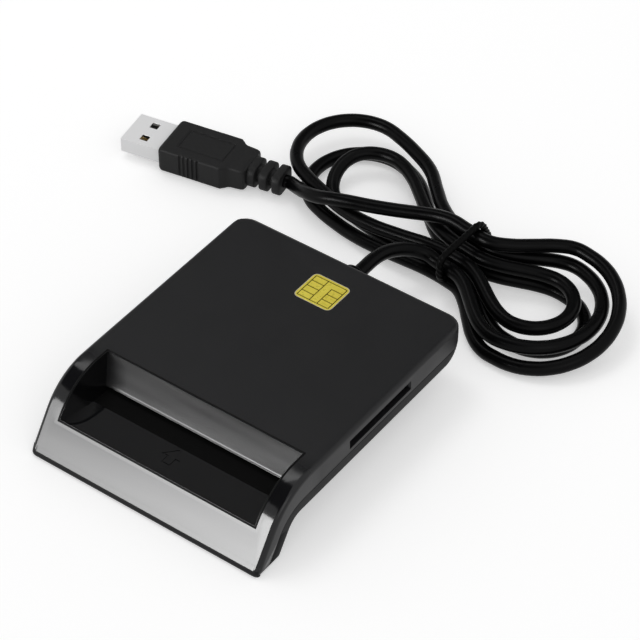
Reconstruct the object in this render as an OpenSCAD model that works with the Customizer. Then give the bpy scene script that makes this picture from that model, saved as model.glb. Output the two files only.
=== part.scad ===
/* [Casing] */
// Width of the casing on each side of the mouth
cheek_w = 4.9; // [4.4:0.1:5.6]
// Length from the chin's tip to the rear wall
body_l = 86.2; // [86:0.2:96]
// Height of the deck above the table
body_h = 18.6; // [18:0.2:21]
// Thickness of the raised rear housing
deck_t = 10.4; // [10.4:0.1:12]
// Slope of the front face
chin_a = 54.6; // [52:0.2:57]
// Thickness of the chin, square to its slope
chin_t = 8.2; // [7.8:0.1:9]
// Radius of the bend from the deck to the front face
bend_r = 17.9; // [16:0.1:18]
// Radius under the housing, where the chin starts
crook_r = 5; // [4:0.5:6]
// Radius of the chin's lower edges
tip_r = 1.4; // [1.2:0.1:2]
// Radius of the deck's rear edge
top_r = 1.5; // [1:0.1:2]
// Radius of the rear wall's lower edge
under_r = 5.5; // [4.5:0.5:6]
// Radius of the rear corners in plan
plan_r = 4.75; // [3:0.25:6]
// Radius of the edges along the side walls
side_r = 1.3; // [0.6:0.1:1.6]
// Wall of both covers
wall = 1.5; // [1.3:0.1:1.7]
// Height of the covers' seam above the underside
seam_up = 4.05; // [3.6:0.05:4.4]
// Depth of the seam behind the front face
seam_in = 3.9; // [3.4:0.1:4.4]
// Radius of the seam round the bend
seam_r = 12; // [10:0.5:13]
// Gap between the two covers along the seam
seam_gap = 0.2; // [0.1:0.05:0.3]

/* [Card mouth] */
// Width of the mouth on each side of the card
card_side = 3.1; // [2.8:0.1:3.4]
// Narrowing of each cheek down to the floor
mouth_taper = 1.6; // [0.8:0.1:1.8]
// Length of deck between the bend and the mouth's edge
mouth_set = 4; // [3:0.1:5]
// Wall of the insert that lines the mouth
insert_wall = 1; // [0.8:0.05:1.2]
// Height that the insert's rim stands proud
rim_up = 0.2; // [0.1:0.05:0.4]
// Thickness of the insert's floor
insert_floor = 0.75; // [0.6:0.05:0.8]
// Run of the scoop from the mouth's edge to its lip
scoop_run = 4.8; // [4:0.1:5.5]
// Radius of the scoop's hollow
scoop_r = 9; // [8:0.5:14]
// Height of the card slot under the lip
slot_h = 1.6; // [1.3:0.1:2]
// Clearance round the insert
insert_gap = 0.1; // [0.05:0.05:0.2]

/* [Card connector] */
// Width of the card that the connector takes
card_w = 54; // [53.9:0.1:54]
// Height of the card channel
channel_h = 1.3; // [1.1:0.1:1.4]
// Side clearance of the card in its channel
card_gap = 0.2; // [0.1:0.1:0.4]
// Thickness of the connector's roof
roof_t = 0.8; // [0.8:0.05:1]
// Width of the connector's side rails
rail_w = 2.3; // [1.8:0.1:2.6]
// Room between the connector and the rear wall
conn_back = 13.6; // [13.6:0.1:15]
// Thickness of the stop at the end of the channel
stop_t = 2; // [1.6:0.1:2.4]
// Spacing of the contacts along a row
contact_pitch = 2.54; // [2.5:0.01:2.6]
// Spacing of the two contact rows
row_pitch = 7.62; // [7.6:0.01:7.7]
// Offset of the contacts from the card's centre line
contact_off = 3; // [2.8:0.1:3.2]
// Length of a sprung contact
blade_l = 5; // [4.5:0.1:5.2]
// Width of a sprung contact
blade_w = 1.1; // [0.8:0.1:1.4]
// Thickness of a sprung contact
blade_t = 0.2; // [0.15:0.05:0.25]
// Diameter of the bar that a contact row turns on
bar_d = 0.5; // [0.4:0.05:0.5]
// Travel of the switch that feels the card
switch_travel = 1; // [0.8:0.1:1.2]

/* [Circuit board] */
// Thickness of the circuit board
board_t = 1.2; // [1:0.1:1.2]
// Clearance between the circuit board and the side walls
board_side = 1.5; // [1.5:0.1:2]
// Room between the circuit board and the rear wall
board_back = 14.6; // [14.2:0.1:16]
// Width of the controller chip
chip_w = 9; // [7:0.5:10]
// Height of the controller chip
chip_h = 1.2; // [0.8:0.1:1.6]
// Number of leads along each side of the chip
chip_leads = 8; // [4:1:8]
// Diameter of a lead's insulation inside the casing
lead_d = 1.1; // [0.9:0.05:1.2]
// Spacing of the leads
lead_pitch = 1.4; // [1.3:0.05:1.5]

/* [Memory card slot] */
// Width of the slot in the right wall
sd_w = 25.6; // [25:0.1:26.5]
// Height of the slot in the right wall
sd_h = 2.75; // [2.5:0.05:3]
// Depth of the memory card socket
sd_depth = 25.5; // [24:0.5:26]
// Sheet thickness of the socket's shell
sheet_t = 0.3; // [0.2:0.05:0.4]
// Spacing of the socket's contacts
sd_pitch = 2.5; // [2.4:0.05:2.6]

/* [Contact emblem] */
// Width of the contact emblem on the deck
emblem_w = 11.4; // [10:0.2:13]
// Length of the contact emblem
emblem_l = 10.2; // [9:0.2:12]
// Corner radius of the emblem
emblem_r = 1.5; // [0.8:0.1:2]
// Distance of the emblem's centre from the rear wall
emblem_set = 12.9; // [11:0.1:18]
// Depth of the recess that holds the emblem
emblem_deep = 0.5; // [0.4:0.05:0.6]
// Width of the lines between the pads
pad_gap = 0.3; // [0.2:0.05:0.4]

/* [Feet and screws] */
// Diameter of the two rear legs
leg_d = 11; // [10:0.5:12]
// Distance of the legs from the side walls
leg_side = 11; // [10:0.5:14]
// Distance of the legs from the rear wall
leg_set = 11.1; // [11:0.1:13]
// Diameter of the rubber foot pads
pad_d = 9.5; // [8:0.5:10]
// Thickness of the rubber foot pads
pad_t = 1.5; // [1:0.1:2]
// Height that a foot pad stands out of its leg
pad_out = 0.5; // [0.3:0.1:0.8]
// Shank diameter of the casing screws
screw_d = 2.2; // [2:0.1:2.5]
// Head diameter of the casing screws
head_d = 5.4; // [4.5:0.1:6]
// Diameter of the screw bosses
boss_d = 6; // [5:0.5:6]

/* [Cord] */
// Diameter of the cord
cord_d = 3.8; // [3.6:0.1:3.8]
// Height of the cord's outlet above the underside
outlet_up = 5.4; // [5.2:0.1:5.6]
// Diameter of the gland's outer collar
gland_d = 7; // [6.5:0.1:7.4]
// Length of the gland's collar outside the wall
gland_out = 1.5; // [1.5:0.1:1.5]
// Thickness of the band round the hank
tie_t = 1.8; // [1.4:0.1:1.8]
// Width of the band round the hank
tie_w = 2.2; // [1.6:0.1:2.4]

/* [Plug] */
// Width of the plug's metal shell
usb_w = 12; // [11.9:0.1:12.1]
// Height of the plug's metal shell
usb_h = 4.5; // [4.4:0.1:4.6]
// Length of the shell outside the grip
usb_out = 12.4; // [11.7:0.1:13]
// Width of the plug's grip
grip_w = 14.6; // [14:0.1:16]
// Height of the plug's grip
grip_h = 7.8; // [7:0.1:8]
// Length of the plug's grip
grip_l = 25.4; // [24:0.2:27]
// Length of the ribbed strain relief
relief_l = 10; // [9:0.1:11]
// Number of ribs on the strain relief
relief_ribs = 3; // [2:1:4]
// Number of finger grooves along each side of the grip
grip_grooves = 5; // [3:1:6]

/* [Hidden] */

// Overrun of every cut, smallest corner radius, and general clearances
over = 1;
sharp = 0.05;
slip = 0.05;
round_fn = 48;
// Steps of the side profiles' bends, and the points of each profile before its bend
bend_steps = 12;
crook_steps = 6;
top_start = 8;
bottom_start = 7;
// Least radius inside the covers' corners
inner_r = 0.4;

// Widths that follow the card
mouth_w = card_w + 2 * card_side;
body_w = mouth_w + 2 * cheek_w;
leg_x = body_w / 2 - leg_side;
board_w = body_w - 2 * wall - 2 * board_side;

// Side profile of the casing, in y and z
under_z = body_h - deck_t;
floor_z = under_z + wall;
ceiling_z = body_h - wall;
face_d = (body_l / 2 - tip_r) * sin(chin_a) + tip_r * cos(chin_a) + tip_r;
bend_z = body_h - bend_r;
bend_y = (cos(chin_a) * bend_z + bend_r - face_d) / sin(chin_a);
rear_y = body_l / 2;
inner_rear = rear_y - wall;
crook_z = under_z - crook_r;
crook_y = (cos(chin_a) * crook_z - face_d + chin_t + crook_r) / sin(chin_a);
seam_z = under_z + seam_up;
seam_bend_z = seam_z - seam_r;
seam_bend_y = (cos(chin_a) * seam_bend_z + seam_r - face_d + seam_in) / sin(chin_a);

// Mouth and its insert
mouth_y = bend_y + mouth_set;
mouth_back = mouth_y + insert_wall;
insert_w = mouth_w + 2 * insert_wall;
mouth_floor = floor_z;
insert_low = mouth_floor - insert_floor;
lip_y = mouth_y - scoop_run;
lip_z = mouth_floor + slot_h;

// Card connector, board and what they carry
conn_gap = 0.9;
conn_y = mouth_back + conn_gap;
conn_end = inner_rear - conn_back;
stop_y = conn_end - stop_t;
channel_w = card_w + 2 * card_gap;
conn_w = channel_w + 2 * rail_w;
channel_z = floor_z + channel_h;
board_z = channel_z + roof_t;
board_top = board_z + board_t;
board_set = 4;
board_y = conn_y + board_set;
board_l = inner_rear - board_back - board_y;
row_back = 23.2;
bar_fit = bar_d + 2 * slip;
bar_z = channel_z + roof_t / 2;
bar_l = 3 * contact_pitch + 2 * blade_w + blade_w;
window_w = bar_l - blade_w / 2;
blade_drop = 1.1;
blade_tip = 0.7;
window_lead = 1;
peg_d = 1.4;
peg_fit = peg_d + 2 * slip;
peg_up = 0.9;
peg_in = 4.5;
peg_x = conn_w / 2 - peg_in;
peg_back = 8;
light_w = 14;
light_l = 16;
light_x = 17;
light_set = 3;
chamfer_in = 0.5;
ledge_w = 3.5;
ledge_set = 2;

// Switch that feels the end of the card
switch_x = 12;
switch_w = 6;
switch_l = 4.6;
switch_h = 2.7;
switch_gap = 0.3;
plunger_w = 1.5;
plunger_h = 1.1;
plunger_up = 0.2;
plunger_l = 4.6;
plunger_slip = 0.1;
switch_y = conn_end + switch_gap;

// Memory card socket
sd_set = 18.4;
sd_y = board_y + sd_set;
sd_gap = 0.5;
sd_x1 = body_w / 2 - wall - sd_gap;
sd_x0 = sd_x1 - sd_depth;
sd_floor_t = 0.6;
sd_rail_w = 1.1;
sd_inner_h = 2.3;
sd_slot_z = board_top + sd_floor_t - (sd_h - sd_inner_h) / 2;
sd_back_t = 1.2;
sd_spring_l = 7;
sd_spring_w = 1.1;
sd_spring_t = 0.15;
sd_spring_up = 0.45;
sd_springs = 9;
sd_window_l = 5;
sd_window_w = 3;

// Parts on the board
chip_x = -14;
chip_set = 24;
chip_lead_l = 1;
chip_lead_w = 0.4;
chip_lead_h = 0.5;
chip_lead_pitch = chip_w / (chip_leads + 1);
can_l = 11;
can_w = 4.5;
can_h = 3.2;
can_set = 8;
header_w = 9;
header_l = 4.5;
header_h = 3.4;
header_x = 0;
bit_w = 1.6;
bit_l = 0.9;
bit_h = 0.8;
bit_places_share = [[-0.42, 0.2], [-0.42, 0.32], [-0.34, 0.86], [-0.22, 0.86],
    [-0.05, 0.25], [-0.05, 0.4]];

// Gland and the leads behind it
outlet_z = under_z + outlet_up;
gland_neck = 5.4;
gland_in_d = 6.2;
gland_in = 1.5;

// Screws, bosses, posts and alignment tabs
leg_y = rear_y - leg_set;
seat_up = 3.1;
seat_z = floor_z - seat_up;
head_h = 1.6;
screw_hole = screw_d + 1;
head_hole = head_d + 0.6;
screw_in = 5;
post_d = 3;
post_set = 2;
tab_t = 0.7;
tab_l = 6;
tab_up = 1.15;
tab_rear_up = 1;
tab_gap = 0.1;
tab_rear_x = 16;
front_pad_w = 12;
front_pad_l = 3;
front_pad_t = 0.9;
front_pad_side = 13;
front_pad_x = body_w / 2 - front_pad_side;

// Emblem
emblem_y = rear_y - emblem_set;
plate_t = 0.25;
gold_t = 0.2;
emblem_rim = 0.35;
emblem_frame = 0.72;
pad_left_share = 0.4;
pad_right_share = 0.64;
pad_rows_share = 0.25;

// Cord's level at the hank and its waist, all in the cord's own sizes
cord_sides = 8;
hank_sides = 6;
cord_r = cord_d / 2;
level = 4.35;
low = 1.9;
mid = low + level;
top = mid + level;
strand = 4.4;
waist = [15, 72.5];
waist_a = -8;
waist_lift = 2.1;
waist_straight = 1.9;
draw_right = 23.5;
draw_left = 42;
loop_rings = 24;
flank_share = 0.25;
front_2 = -1.5 * strand;
front_1 = -0.5 * strand;
back_1 = 0.5 * strand;
back_2 = 1.5 * strand;
out_slot = strand;
tie_gap = 0.2;

// Each loop: side, reach, radius, yaw, slot in, slot out, level in, level out,
// and the shares of its run where it climbs
loops = [
    [1, 23, 17.6, 3, front_2, back_2, mid, mid, 0, 1],
    [-1, 52.5, 15.2, -12.5, back_2, front_1, mid, mid, 0, 1],
    [1, 23, 10.4, 3, front_1, back_1, mid, mid, 0, 1],
    [-1, 42, 10.2, -11, back_1, front_1, mid, low, 0.42, 0.74],
    [1, 26, 11.6, 1, front_1, back_1, low, low, 0, 1],
    [-1, 44, 14.6, -9, back_1, front_2, low, low, 0, 1],
    [1, 26, 19.5, 3, front_2, out_slot, low, top, 0.25, 0.8]];

// Route of the cord from the gland to the hank
lead_route = [[0, 44.6, 13.6], [0, 48.5, 13.6], [0, 52.5, 13.5], [0.4, 56.5, 13],
    [1.5, 60.2, 12.1], [3.2, 63.2, 11.1], [5.3, 65.4, 10], [7.8, 66.6, 9]];
// Route of the cord from the hank to the plug
plug_route = [[8, 77.8, 12.9], [4, 77.6, 12.6], [0, 76.6, 12.2], [-5, 74.9, 11.7],
    [-10, 73.2, 11.3], [-15, 71.5, 11.1], [-20, 69.9, 11], [-25, 68.8, 10.3],
    [-30, 68.6, 8.8], [-34.5, 69.8, 7.2], [-38.2, 71.8, 5.3], [-40.8, 73.1, 4.3],
    [-42.6, 73.647, 4], [-44, 73.4, 4]];

// Plug, lying on the table
plug_at = [-44, 73.4, 4];
plug_a = 190;
grip_r = 1.7;
grip_shares = [[0, 0.62, 0.72], [0.03, 0.68, 0.8], [0.09, 0.7, 0.84], [0.15, 0.8, 0.9],
    [0.2, 0.94, 0.97], [0.25, 1, 1], [0.96, 1, 1], [1, 0.95, 0.93]];
shell_in = 4;
groove_pitch = 1.33;
grip_groove_w = 0.6;
grip_groove_d = 0.5;
groove_from_share = 0.524;
panel_w = 8.7;
panel_l = 14.7;
panel_d = 0.3;
panel_from_share = 0.256;
relief_w = 8.6;
relief_h = 6.6;
relief_core_w = 6;
relief_core_h = 5.4;
relief_r = 2.2;
rib_share = 0.62;
shell_t = 0.35;
latch_w = 2.3;
latch_l = 2.4;
latch_x = 2.9;
latch_from = 5.2;
tongue_w = 11;
tongue_h = 1.9;
tongue_back = 0.7;
usb_pin_w = 1;
usb_pin_l = 7.4;
usb_pin_t = 0.15;
usb_pin_pitch = 2.3;

function arc(cy, cz, r, a0, a1, steps) =
    [for (k = [0:steps]) let(a = a0 + (a1 - a0) * k / steps) [cy + r * cos(a), cz + r * sin(a)]];

// Place of the front face at a height, moved outward
function face_y(z, out) = (cos(chin_a) * z - face_d - out) / sin(chin_a);

// Height above the table, run of the seam and its curve, all lowered by drop
function seam_y(z, drop) = face_y(z, -seam_in - drop);
function seam_curve(drop) = arc(seam_bend_y, seam_bend_z, seam_r - drop, 90, 90 + chin_a, bend_steps);

// Side profile of the top cover drawn in by inset, from its rear wall at back to its foot
function top_path(inset, back) =
    let(rt = max(top_r - inset, inner_r), tr = max(tip_r - inset, inner_r), q = inset + tr,
        ur = max(under_r - inset, inner_r), lean = asin((under_r - seam_up) / ur))
    concat(
        arc(back - ur, under_z + under_r, ur, -lean, 0, 2),
        arc(back - rt, body_h - inset - rt, rt, 0, 90, 4),
        arc(bend_y, bend_z, bend_r - inset, 90, 90 + chin_a, bend_steps),
        arc((cos(chin_a) * q - face_d + q) / sin(chin_a), q, tr, 90 + chin_a, 270, 6),
        [[seam_y(inset, 0), inset]]);

// Side profile of the bottom cover, from its rear wall to its foot
function bottom_path(inset, back) =
    let(tr = max(tip_r - inset, inner_r), q = inset + tr, ur = max(under_r - inset, inner_r),
        lean = asin((under_r - seam_up + seam_gap) / ur))
    concat(
        arc(back - ur, under_z + under_r, ur, 360 - lean, 270, 6),
        arc(crook_y, crook_z, crook_r + inset, 90, 90 + chin_a, crook_steps),
        arc((cos(chin_a) * q - face_d + chin_t - q) / sin(chin_a), q, tr, 270 + chin_a, 270, 4),
        [[seam_y(inset, seam_gap), inset]]);

// Skin through rings of one length, each turning by the right hand about the way on
function ring_faces(rings, n) =
    [for (i = [0:rings - 2]) for (j = [0:n - 1]) let(k = (j + 1) % n)
        each [[i * n + j, (i + 1) * n + k, i * n + k], [i * n + j, (i + 1) * n + j, (i + 1) * n + k]]];

module skin(rings) {
    n = len(rings[0]);
    m = len(rings);
    polyhedron(points = [for (r = rings) each r],
        faces = concat([[for (j = [0:n - 1]) j]], ring_faces(m, n),
            [[for (j = [n - 1:-1:0]) (m - 1) * n + j]]), convexity = 6);
}

// Setback of the rear wall at x, where the plan corner has radius r
function corner_back(x, half, r) =
    let(d = max(abs(x) - (half - r), 0)) r - sqrt(max(r * r - d * d, 0));

// Stations across the casing: place, inset of the side fillet and rear wall
function stations(inset, fillet) =
    let(half = body_w / 2 - inset, r = plan_r - inset, turn = asin(1 - fillet / r),
        side = fillet > 0
            ? concat([for (k = [0:3]) half - r + r * sin(turn * k / 3)],
                [for (a = [30, 60, 90]) half - fillet + fillet * sin(a)])
            : [for (k = [0:6]) half - r + r * sin(turn * k / 6)])
    [for (x = concat([for (k = [len(side) - 1:-1:0]) -side[k]], side))
        let(t = max(abs(x) - (half - fillet), 0))
        [x, fillet > 0 ? fillet - sqrt(max(fillet * fillet - t * t, 0)) : 0,
            rear_y - inset - corner_back(x, half, r)]];

// Rows of points of one skin of a cover, inset by the wall on its inner side
function cover_rows(upper, inset, fillet) =
    [for (s = stations(inset, fillet))
        [for (p = upper ? top_path(inset + s[1], s[2]) : bottom_path(inset + s[1], s[2]))
            [s[0], p[0], p[1]]]];

// Points of one skin: its rows, then the seam's curve at both ends
function skin_points(rows, curve) =
    concat([for (r = rows) each r],
        [for (i = [0, len(rows) - 1]) each [for (c = curve) [rows[i][0][0], c[0], c[1]]]]);

// Faces of an end: its profile of n points from number a on, its curve of c points from u on,
// and the point f at which the profile's bend starts, with its number of steps
function end_faces(a, u, n, c, f, steps) =
    let(q = (c - 1) / steps)
    concat(
        [for (j = [0:f - 1]) [a + j + 1, a + j, u]],
        [for (j = [0:steps - 1]) each concat([[a + f + j + 1, a + f + j, u + q * j]],
            [for (k = [q * j:q * j + q - 1]) [u + k, u + k + 1, a + f + j + 1]])],
        [for (j = [f + steps:n - 2]) [a + j + 1, a + j, u + c - 1]]);

// Faces of one skin of m rows of n points and c curve points, from number b on
function skin_faces(b, m, n, c, f, steps) =
    concat(
        [for (i = [0:m - 2]) for (j = [0:n - 2]) let(q = b + i * n + j)
            each [[q, q + n, q + n + 1], [q, q + n + 1, q + 1]]],
        end_faces(b + (m - 1) * n, b + m * n + c, n, c, f, steps),
        flipped(end_faces(b, b + m * n, n, c, f, steps)));

// Loop of the points along the seam
function rim(b, m, n, c) =
    concat([for (i = [0:m - 1]) b + i * n], [for (k = [0:c - 1]) b + m * n + c + k],
        [for (i = [m - 1:-1:0]) b + i * n + n - 1], [for (k = [c - 1:-1:0]) b + m * n + k]);

function flipped(faces) = [for (f = faces) [for (k = [len(f) - 1:-1:0]) f[k]]];

// Shell of one cover: an outer and an inner skin joined along the seam
module cover_shell(upper) {
    outer = cover_rows(upper, 0, side_r);
    inner = cover_rows(upper, wall, 0);
    curve = seam_curve(upper ? 0 : seam_gap);
    m = len(outer);
    n = len(outer[0]);
    c = len(curve);
    b = m * n + 2 * c;
    lo = rim(0, m, n, c);
    li = rim(b, m, n, c);
    first = upper ? top_start : bottom_start;
    steps = upper ? bend_steps : crook_steps;
    faces = concat(skin_faces(0, m, n, c, first, steps),
        flipped(skin_faces(b, m, n, c, first, steps)),
        [for (k = [0:len(lo) - 1]) let(w = (k + 1) % len(lo))
            each [[lo[k], li[k], li[w]], [lo[k], li[w], lo[w]]]]);
    polyhedron(points = concat(skin_points(outer, curve), skin_points(inner, curve)),
        faces = upper ? faces : flipped(faces), convexity = 8);
}

module along_x(w) {
    rotate([90, 0, 90]) linear_extrude(w, center = true) children();
}

module along_y(l) {
    rotate([90, 0, 0]) linear_extrude(l, center = true) children();
}

module span_box(xs, ys, zs) {
    translate([xs[0], ys[0], zs[0]]) cube([xs[1] - xs[0], ys[1] - ys[0], zs[1] - zs[0]]);
}

module rod_x(d, x0, x1) {
    translate([x0, 0, 0]) rotate([0, 90, 0]) cylinder(h = x1 - x0, d = d, $fn = round_fn);
}

module rod_y(d, y0, y1) {
    translate([0, y0, 0]) rotate([-90, 0, 0]) cylinder(h = y1 - y0, d = d, $fn = round_fn);
}

module rod_z(d, z0, z1) {
    translate([0, 0, z0]) cylinder(h = z1 - z0, d = d, $fn = round_fn);
}

module both_sides() {
    children();
    mirror([1, 0, 0]) children();
}

// Points of a rectangle with round corners, centred
function round_box(w, h, r) =
    [for (c = [[1, 1, 0], [-1, 1, 90], [-1, -1, 180], [1, -1, 270]])
        each arc(c[0] * (w / 2 - r), c[1] * (h / 2 - r), r, c[2], c[2] + 90, 4)];

// Room for the mouth's insert in both covers
module mouth_room() {
    half = insert_w / 2 + insert_gap;
    span_box([-half, half], [-rear_y - over, mouth_back + insert_gap],
        [insert_low - insert_gap, body_h + over]);
}

module gland_hole() {
    translate([0, 0, outlet_z]) {
        rod_y(gland_neck + 2 * slip, inner_rear - over, rear_y + over);
        rod_y(gland_in_d + 2 * slip, inner_rear - gland_in - over, inner_rear);
    }
}

module at_legs() {
    both_sides() translate([leg_x, leg_y, 0]) children();
}

module top_cover() color([0.12, 0.12, 0.13]) difference() {
    union() {
        cover_shell(true);
        at_legs() rod_z(boss_d, floor_z, ceiling_z + sharp);
        for (y = [board_y + post_set, board_y + board_l - post_set])
            both_sides() translate([board_w / 2 - post_set, y, 0])
                rod_z(post_d, board_top, ceiling_z + sharp);
    }
    mouth_room();
    gland_hole();
    at_legs() rod_z(screw_d + 2 * slip, floor_z - over, floor_z + screw_in);
    span_box([body_w / 2 - wall - over, body_w / 2 + over],
        [sd_y - sd_w / 2, sd_y + sd_w / 2], [sd_slot_z, sd_slot_z + sd_h]);
    translate([0, emblem_y, body_h - emblem_deep])
        linear_extrude(emblem_deep + over) polygon(round_box(emblem_w, emblem_l, emblem_r));
}

// Rib that lines the top cover up, standing inside the wall from a height up
module align_rib(z0) {
    span_box([-tab_l / 2, tab_l / 2], [tab_gap, tab_gap + tab_t], [z0, seam_z + tab_up]);
}

module bottom_cover() color([0.16, 0.16, 0.17]) difference() {
    union() {
        cover_shell(false);
        at_legs() rod_z(leg_d, pad_out, floor_z - sharp);
        both_sides() span_box([body_w / 2 - wall - ledge_w, body_w / 2 - wall - tab_gap],
            [board_y + ledge_set, board_y + board_l - ledge_set], [floor_z - sharp, board_z]);
        for (y = [board_y - tab_l / 2, board_y + board_l + tab_l / 2])
            both_sides() translate([body_w / 2 - wall, y, 0]) rotate([0, 0, 90])
                align_rib(floor_z - sharp);
        both_sides() translate([tab_rear_x, inner_rear, 0]) rotate([0, 0, 180])
            align_rib(floor_z + tab_rear_up);
    }
    mouth_room();
    gland_hole();
    at_legs() {
        rod_z(screw_hole, 0, floor_z + over);
        rod_z(head_hole, 0, seat_z);
        rod_z(pad_d, -over, pad_t);
    }
    both_sides() span_box([front_pad_x - front_pad_w / 2, front_pad_x + front_pad_w / 2],
        [front_pad_y(0), front_pad_y(1)], [-over, front_pad_t]);
}

// Front and back edges of the chin's rubber strips, under the bottom cover
function front_pad_y(end) =
    let(q = (face_y(0, -seam_in) + face_y(0, -chin_t)) / 2) q - front_pad_l / 2 + end * front_pad_l;

// Region that the insert fills, up to its proud rim
module insert_block() {
    along_x(insert_w) polygon(concat(
        [[mouth_back, insert_low], [mouth_back, body_h + rim_up]],
        arc(bend_y, bend_z, bend_r + rim_up, 90, 90 + chin_a, 14),
        [[face_y(insert_low, rim_up), insert_low]]));
}

// Centre of the scoop's hollow, from its two ends and its radius
scoop_chord = [scoop_run, body_h - lip_z - insert_wall / 2];
scoop_half = norm(scoop_chord) / 2;
scoop_out = sqrt(scoop_r * scoop_r - scoop_half * scoop_half);
scoop_y = mouth_y - scoop_chord[0] / 2 - scoop_out * scoop_chord[1] / (2 * scoop_half);
scoop_z = body_h - scoop_chord[1] / 2 + scoop_out * scoop_chord[0] / (2 * scoop_half);
scoop_a0 = atan2(body_h - scoop_z, mouth_y - scoop_y);
scoop_a1 = atan2(lip_z + insert_wall / 2 - scoop_z, lip_y - scoop_y);

module scoop() {
    mid_r = scoop_r + insert_wall / 2;
    along_x(insert_w) polygon(concat(
        [[mouth_back, body_h + over], [mouth_y, body_h + over]],
        arc(scoop_y, scoop_z, scoop_r, scoop_a0, scoop_a1, 10),
        arc(scoop_y + mid_r * cos(scoop_a1), scoop_z + mid_r * sin(scoop_a1), insert_wall / 2,
            scoop_a1 + 180, scoop_a1 + 360, 6),
        arc(scoop_y, scoop_z, scoop_r + insert_wall, scoop_a1, scoop_a0, 10)));
}

module mouth_insert() color([0.2, 0.2, 0.21]) intersection() {
    insert_block();
    union() {
        both_sides() along_y(body_l) polygon([
            [insert_w / 2 + over, body_h + over], [mouth_w / 2, body_h + over],
            [mouth_w / 2, body_h + rim_up], [mouth_w / 2 - mouth_taper, mouth_floor],
            [mouth_w / 2 - mouth_taper, insert_low - over], [insert_w / 2 + over, insert_low - over]]);
        span_box([-insert_w / 2, insert_w / 2], [-rear_y, mouth_back], [insert_low, mouth_floor]);
        scoop();
        span_box([-insert_w / 2, insert_w / 2], [lip_y + insert_wall / 2, mouth_back],
            [lip_z, lip_z + insert_wall]);
    }
}

module chip_emblem_plate() color([0.72, 0.66, 0.52])
    translate([0, emblem_y, body_h - emblem_deep]) linear_extrude(plate_t)
        polygon(round_box(emblem_w - 2 * slip, emblem_l - 2 * slip, emblem_r - slip));

// One gold pad between two corners
module gold(xs, ys) {
    translate([xs[0] + pad_gap / 2, ys[0] + pad_gap / 2])
        square([xs[1] - xs[0] - pad_gap, ys[1] - ys[0] - pad_gap]);
}

module chip_emblem_pads() color([0.86, 0.68, 0.3])
    translate([0, emblem_y, body_h - emblem_deep + plate_t]) linear_extrude(gold_t) {
        w = emblem_w / 2;
        l = emblem_l / 2;
        left = emblem_w * pad_left_share - w;
        right = emblem_w * pad_right_share - w;
        row = emblem_l * pad_rows_share;
        inner_w = w - emblem_frame;
        inner_l = l - emblem_frame;
        difference() {
            polygon(round_box(emblem_w - 2 * emblem_rim, emblem_l - 2 * emblem_rim,
                emblem_r - emblem_rim));
            square([2 * inner_w, 2 * inner_l], center = true);
        }
        intersection() {
            square([2 * inner_w - pad_gap, 2 * inner_l - pad_gap], center = true);
            union() {
                for (k = [0:3]) gold([-w, left], [k * row - l, (k + 1) * row - l]);
                for (k = [0:2]) gold([right, w], [k * row - l, (k + 1) * row - l]);
                gold([left, right], [-l, l]);
                gold([left, w], [3 * row - l, l]);
            }
        }
    }

module at_pegs() {
    both_sides() translate([peg_x, conn_end - peg_back, 0]) children();
}

module main_board() color([0.1, 0.35, 0.2]) difference() {
    span_box([-board_w / 2, board_w / 2], [board_y, board_y + board_l], [board_z, board_top]);
    at_pegs() rod_z(peg_fit, board_z - over, board_top + over);
}

function row_y(k) = stop_y - row_back + k * row_pitch;

module card_connector_frame() color([0.85, 0.85, 0.82]) {
    difference() {
        span_box([-conn_w / 2, conn_w / 2], [conn_y, conn_end], [floor_z, board_z]);
        span_box([-channel_w / 2, channel_w / 2], [conn_y - over, stop_y],
            [floor_z - over, channel_z]);
        along_x(channel_w) polygon([[conn_y - over, channel_z - sharp],
            [conn_y + chamfer_in, channel_z - sharp],
            [conn_y - over, channel_z + chamfer_in + over]]);
        for (k = [0, 1]) {
            span_box([-contact_off - window_w / 2, -contact_off + window_w / 2],
                [row_y(k) - window_lead, row_y(k) + blade_l + window_lead],
                [channel_z - over, board_z + over]);
            translate([-contact_off, row_y(k), bar_z])
                rod_x(bar_fit, -bar_l / 2 - slip, bar_l / 2 + slip);
        }
        both_sides() span_box([light_x - light_w / 2, light_x + light_w / 2],
            [conn_y + light_set, conn_y + light_set + light_l], [channel_z - over, board_z + over]);
        translate([switch_x, 0, floor_z + plunger_up]) span_box(
            [-plunger_w / 2 - plunger_slip, plunger_w / 2 + plunger_slip],
            [stop_y - over, conn_end + over], [-plunger_slip, plunger_h + plunger_slip]);
    }
    at_pegs() rod_z(peg_d, board_z - sharp, board_z + peg_up);
}

// Row of sprung contacts on the bar that it turns on
module contact_row(k) {
    translate([-contact_off, row_y(k), bar_z]) {
        rod_x(bar_d, -bar_l / 2, bar_l / 2);
        for (i = [0:3]) translate([(i - 1.5) * contact_pitch, 0, 0]) along_x(blade_w)
            polygon([[0, bar_d / 2 - sharp], [blade_l - blade_tip, -blade_drop + blade_t],
                [blade_l, -blade_drop + 2 * blade_t], [blade_l, -blade_drop + blade_t],
                [blade_l - blade_tip, -blade_drop], [0, bar_d / 2 - sharp - blade_t]]);
    }
}

module contact_row_front() color([0.85, 0.7, 0.35]) contact_row(0);

module contact_row_rear() color([0.85, 0.7, 0.35]) contact_row(1);

module card_switch_housing() color([0.2, 0.2, 0.22])
    translate([switch_x, switch_y, floor_z]) difference() {
        span_box([-switch_w / 2, switch_w / 2], [0, switch_l], [0, switch_h]);
        span_box([-plunger_w / 2 - plunger_slip, plunger_w / 2 + plunger_slip],
            [-over, plunger_l - switch_travel],
            [plunger_up - plunger_slip, plunger_up + plunger_h + plunger_slip]);
    }

module card_switch_plunger() color([0.8, 0.8, 0.78])
    translate([switch_x, stop_y - switch_travel, floor_z + plunger_up])
        span_box([-plunger_w / 2, plunger_w / 2], [0, plunger_l], [0, plunger_h]);

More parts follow.
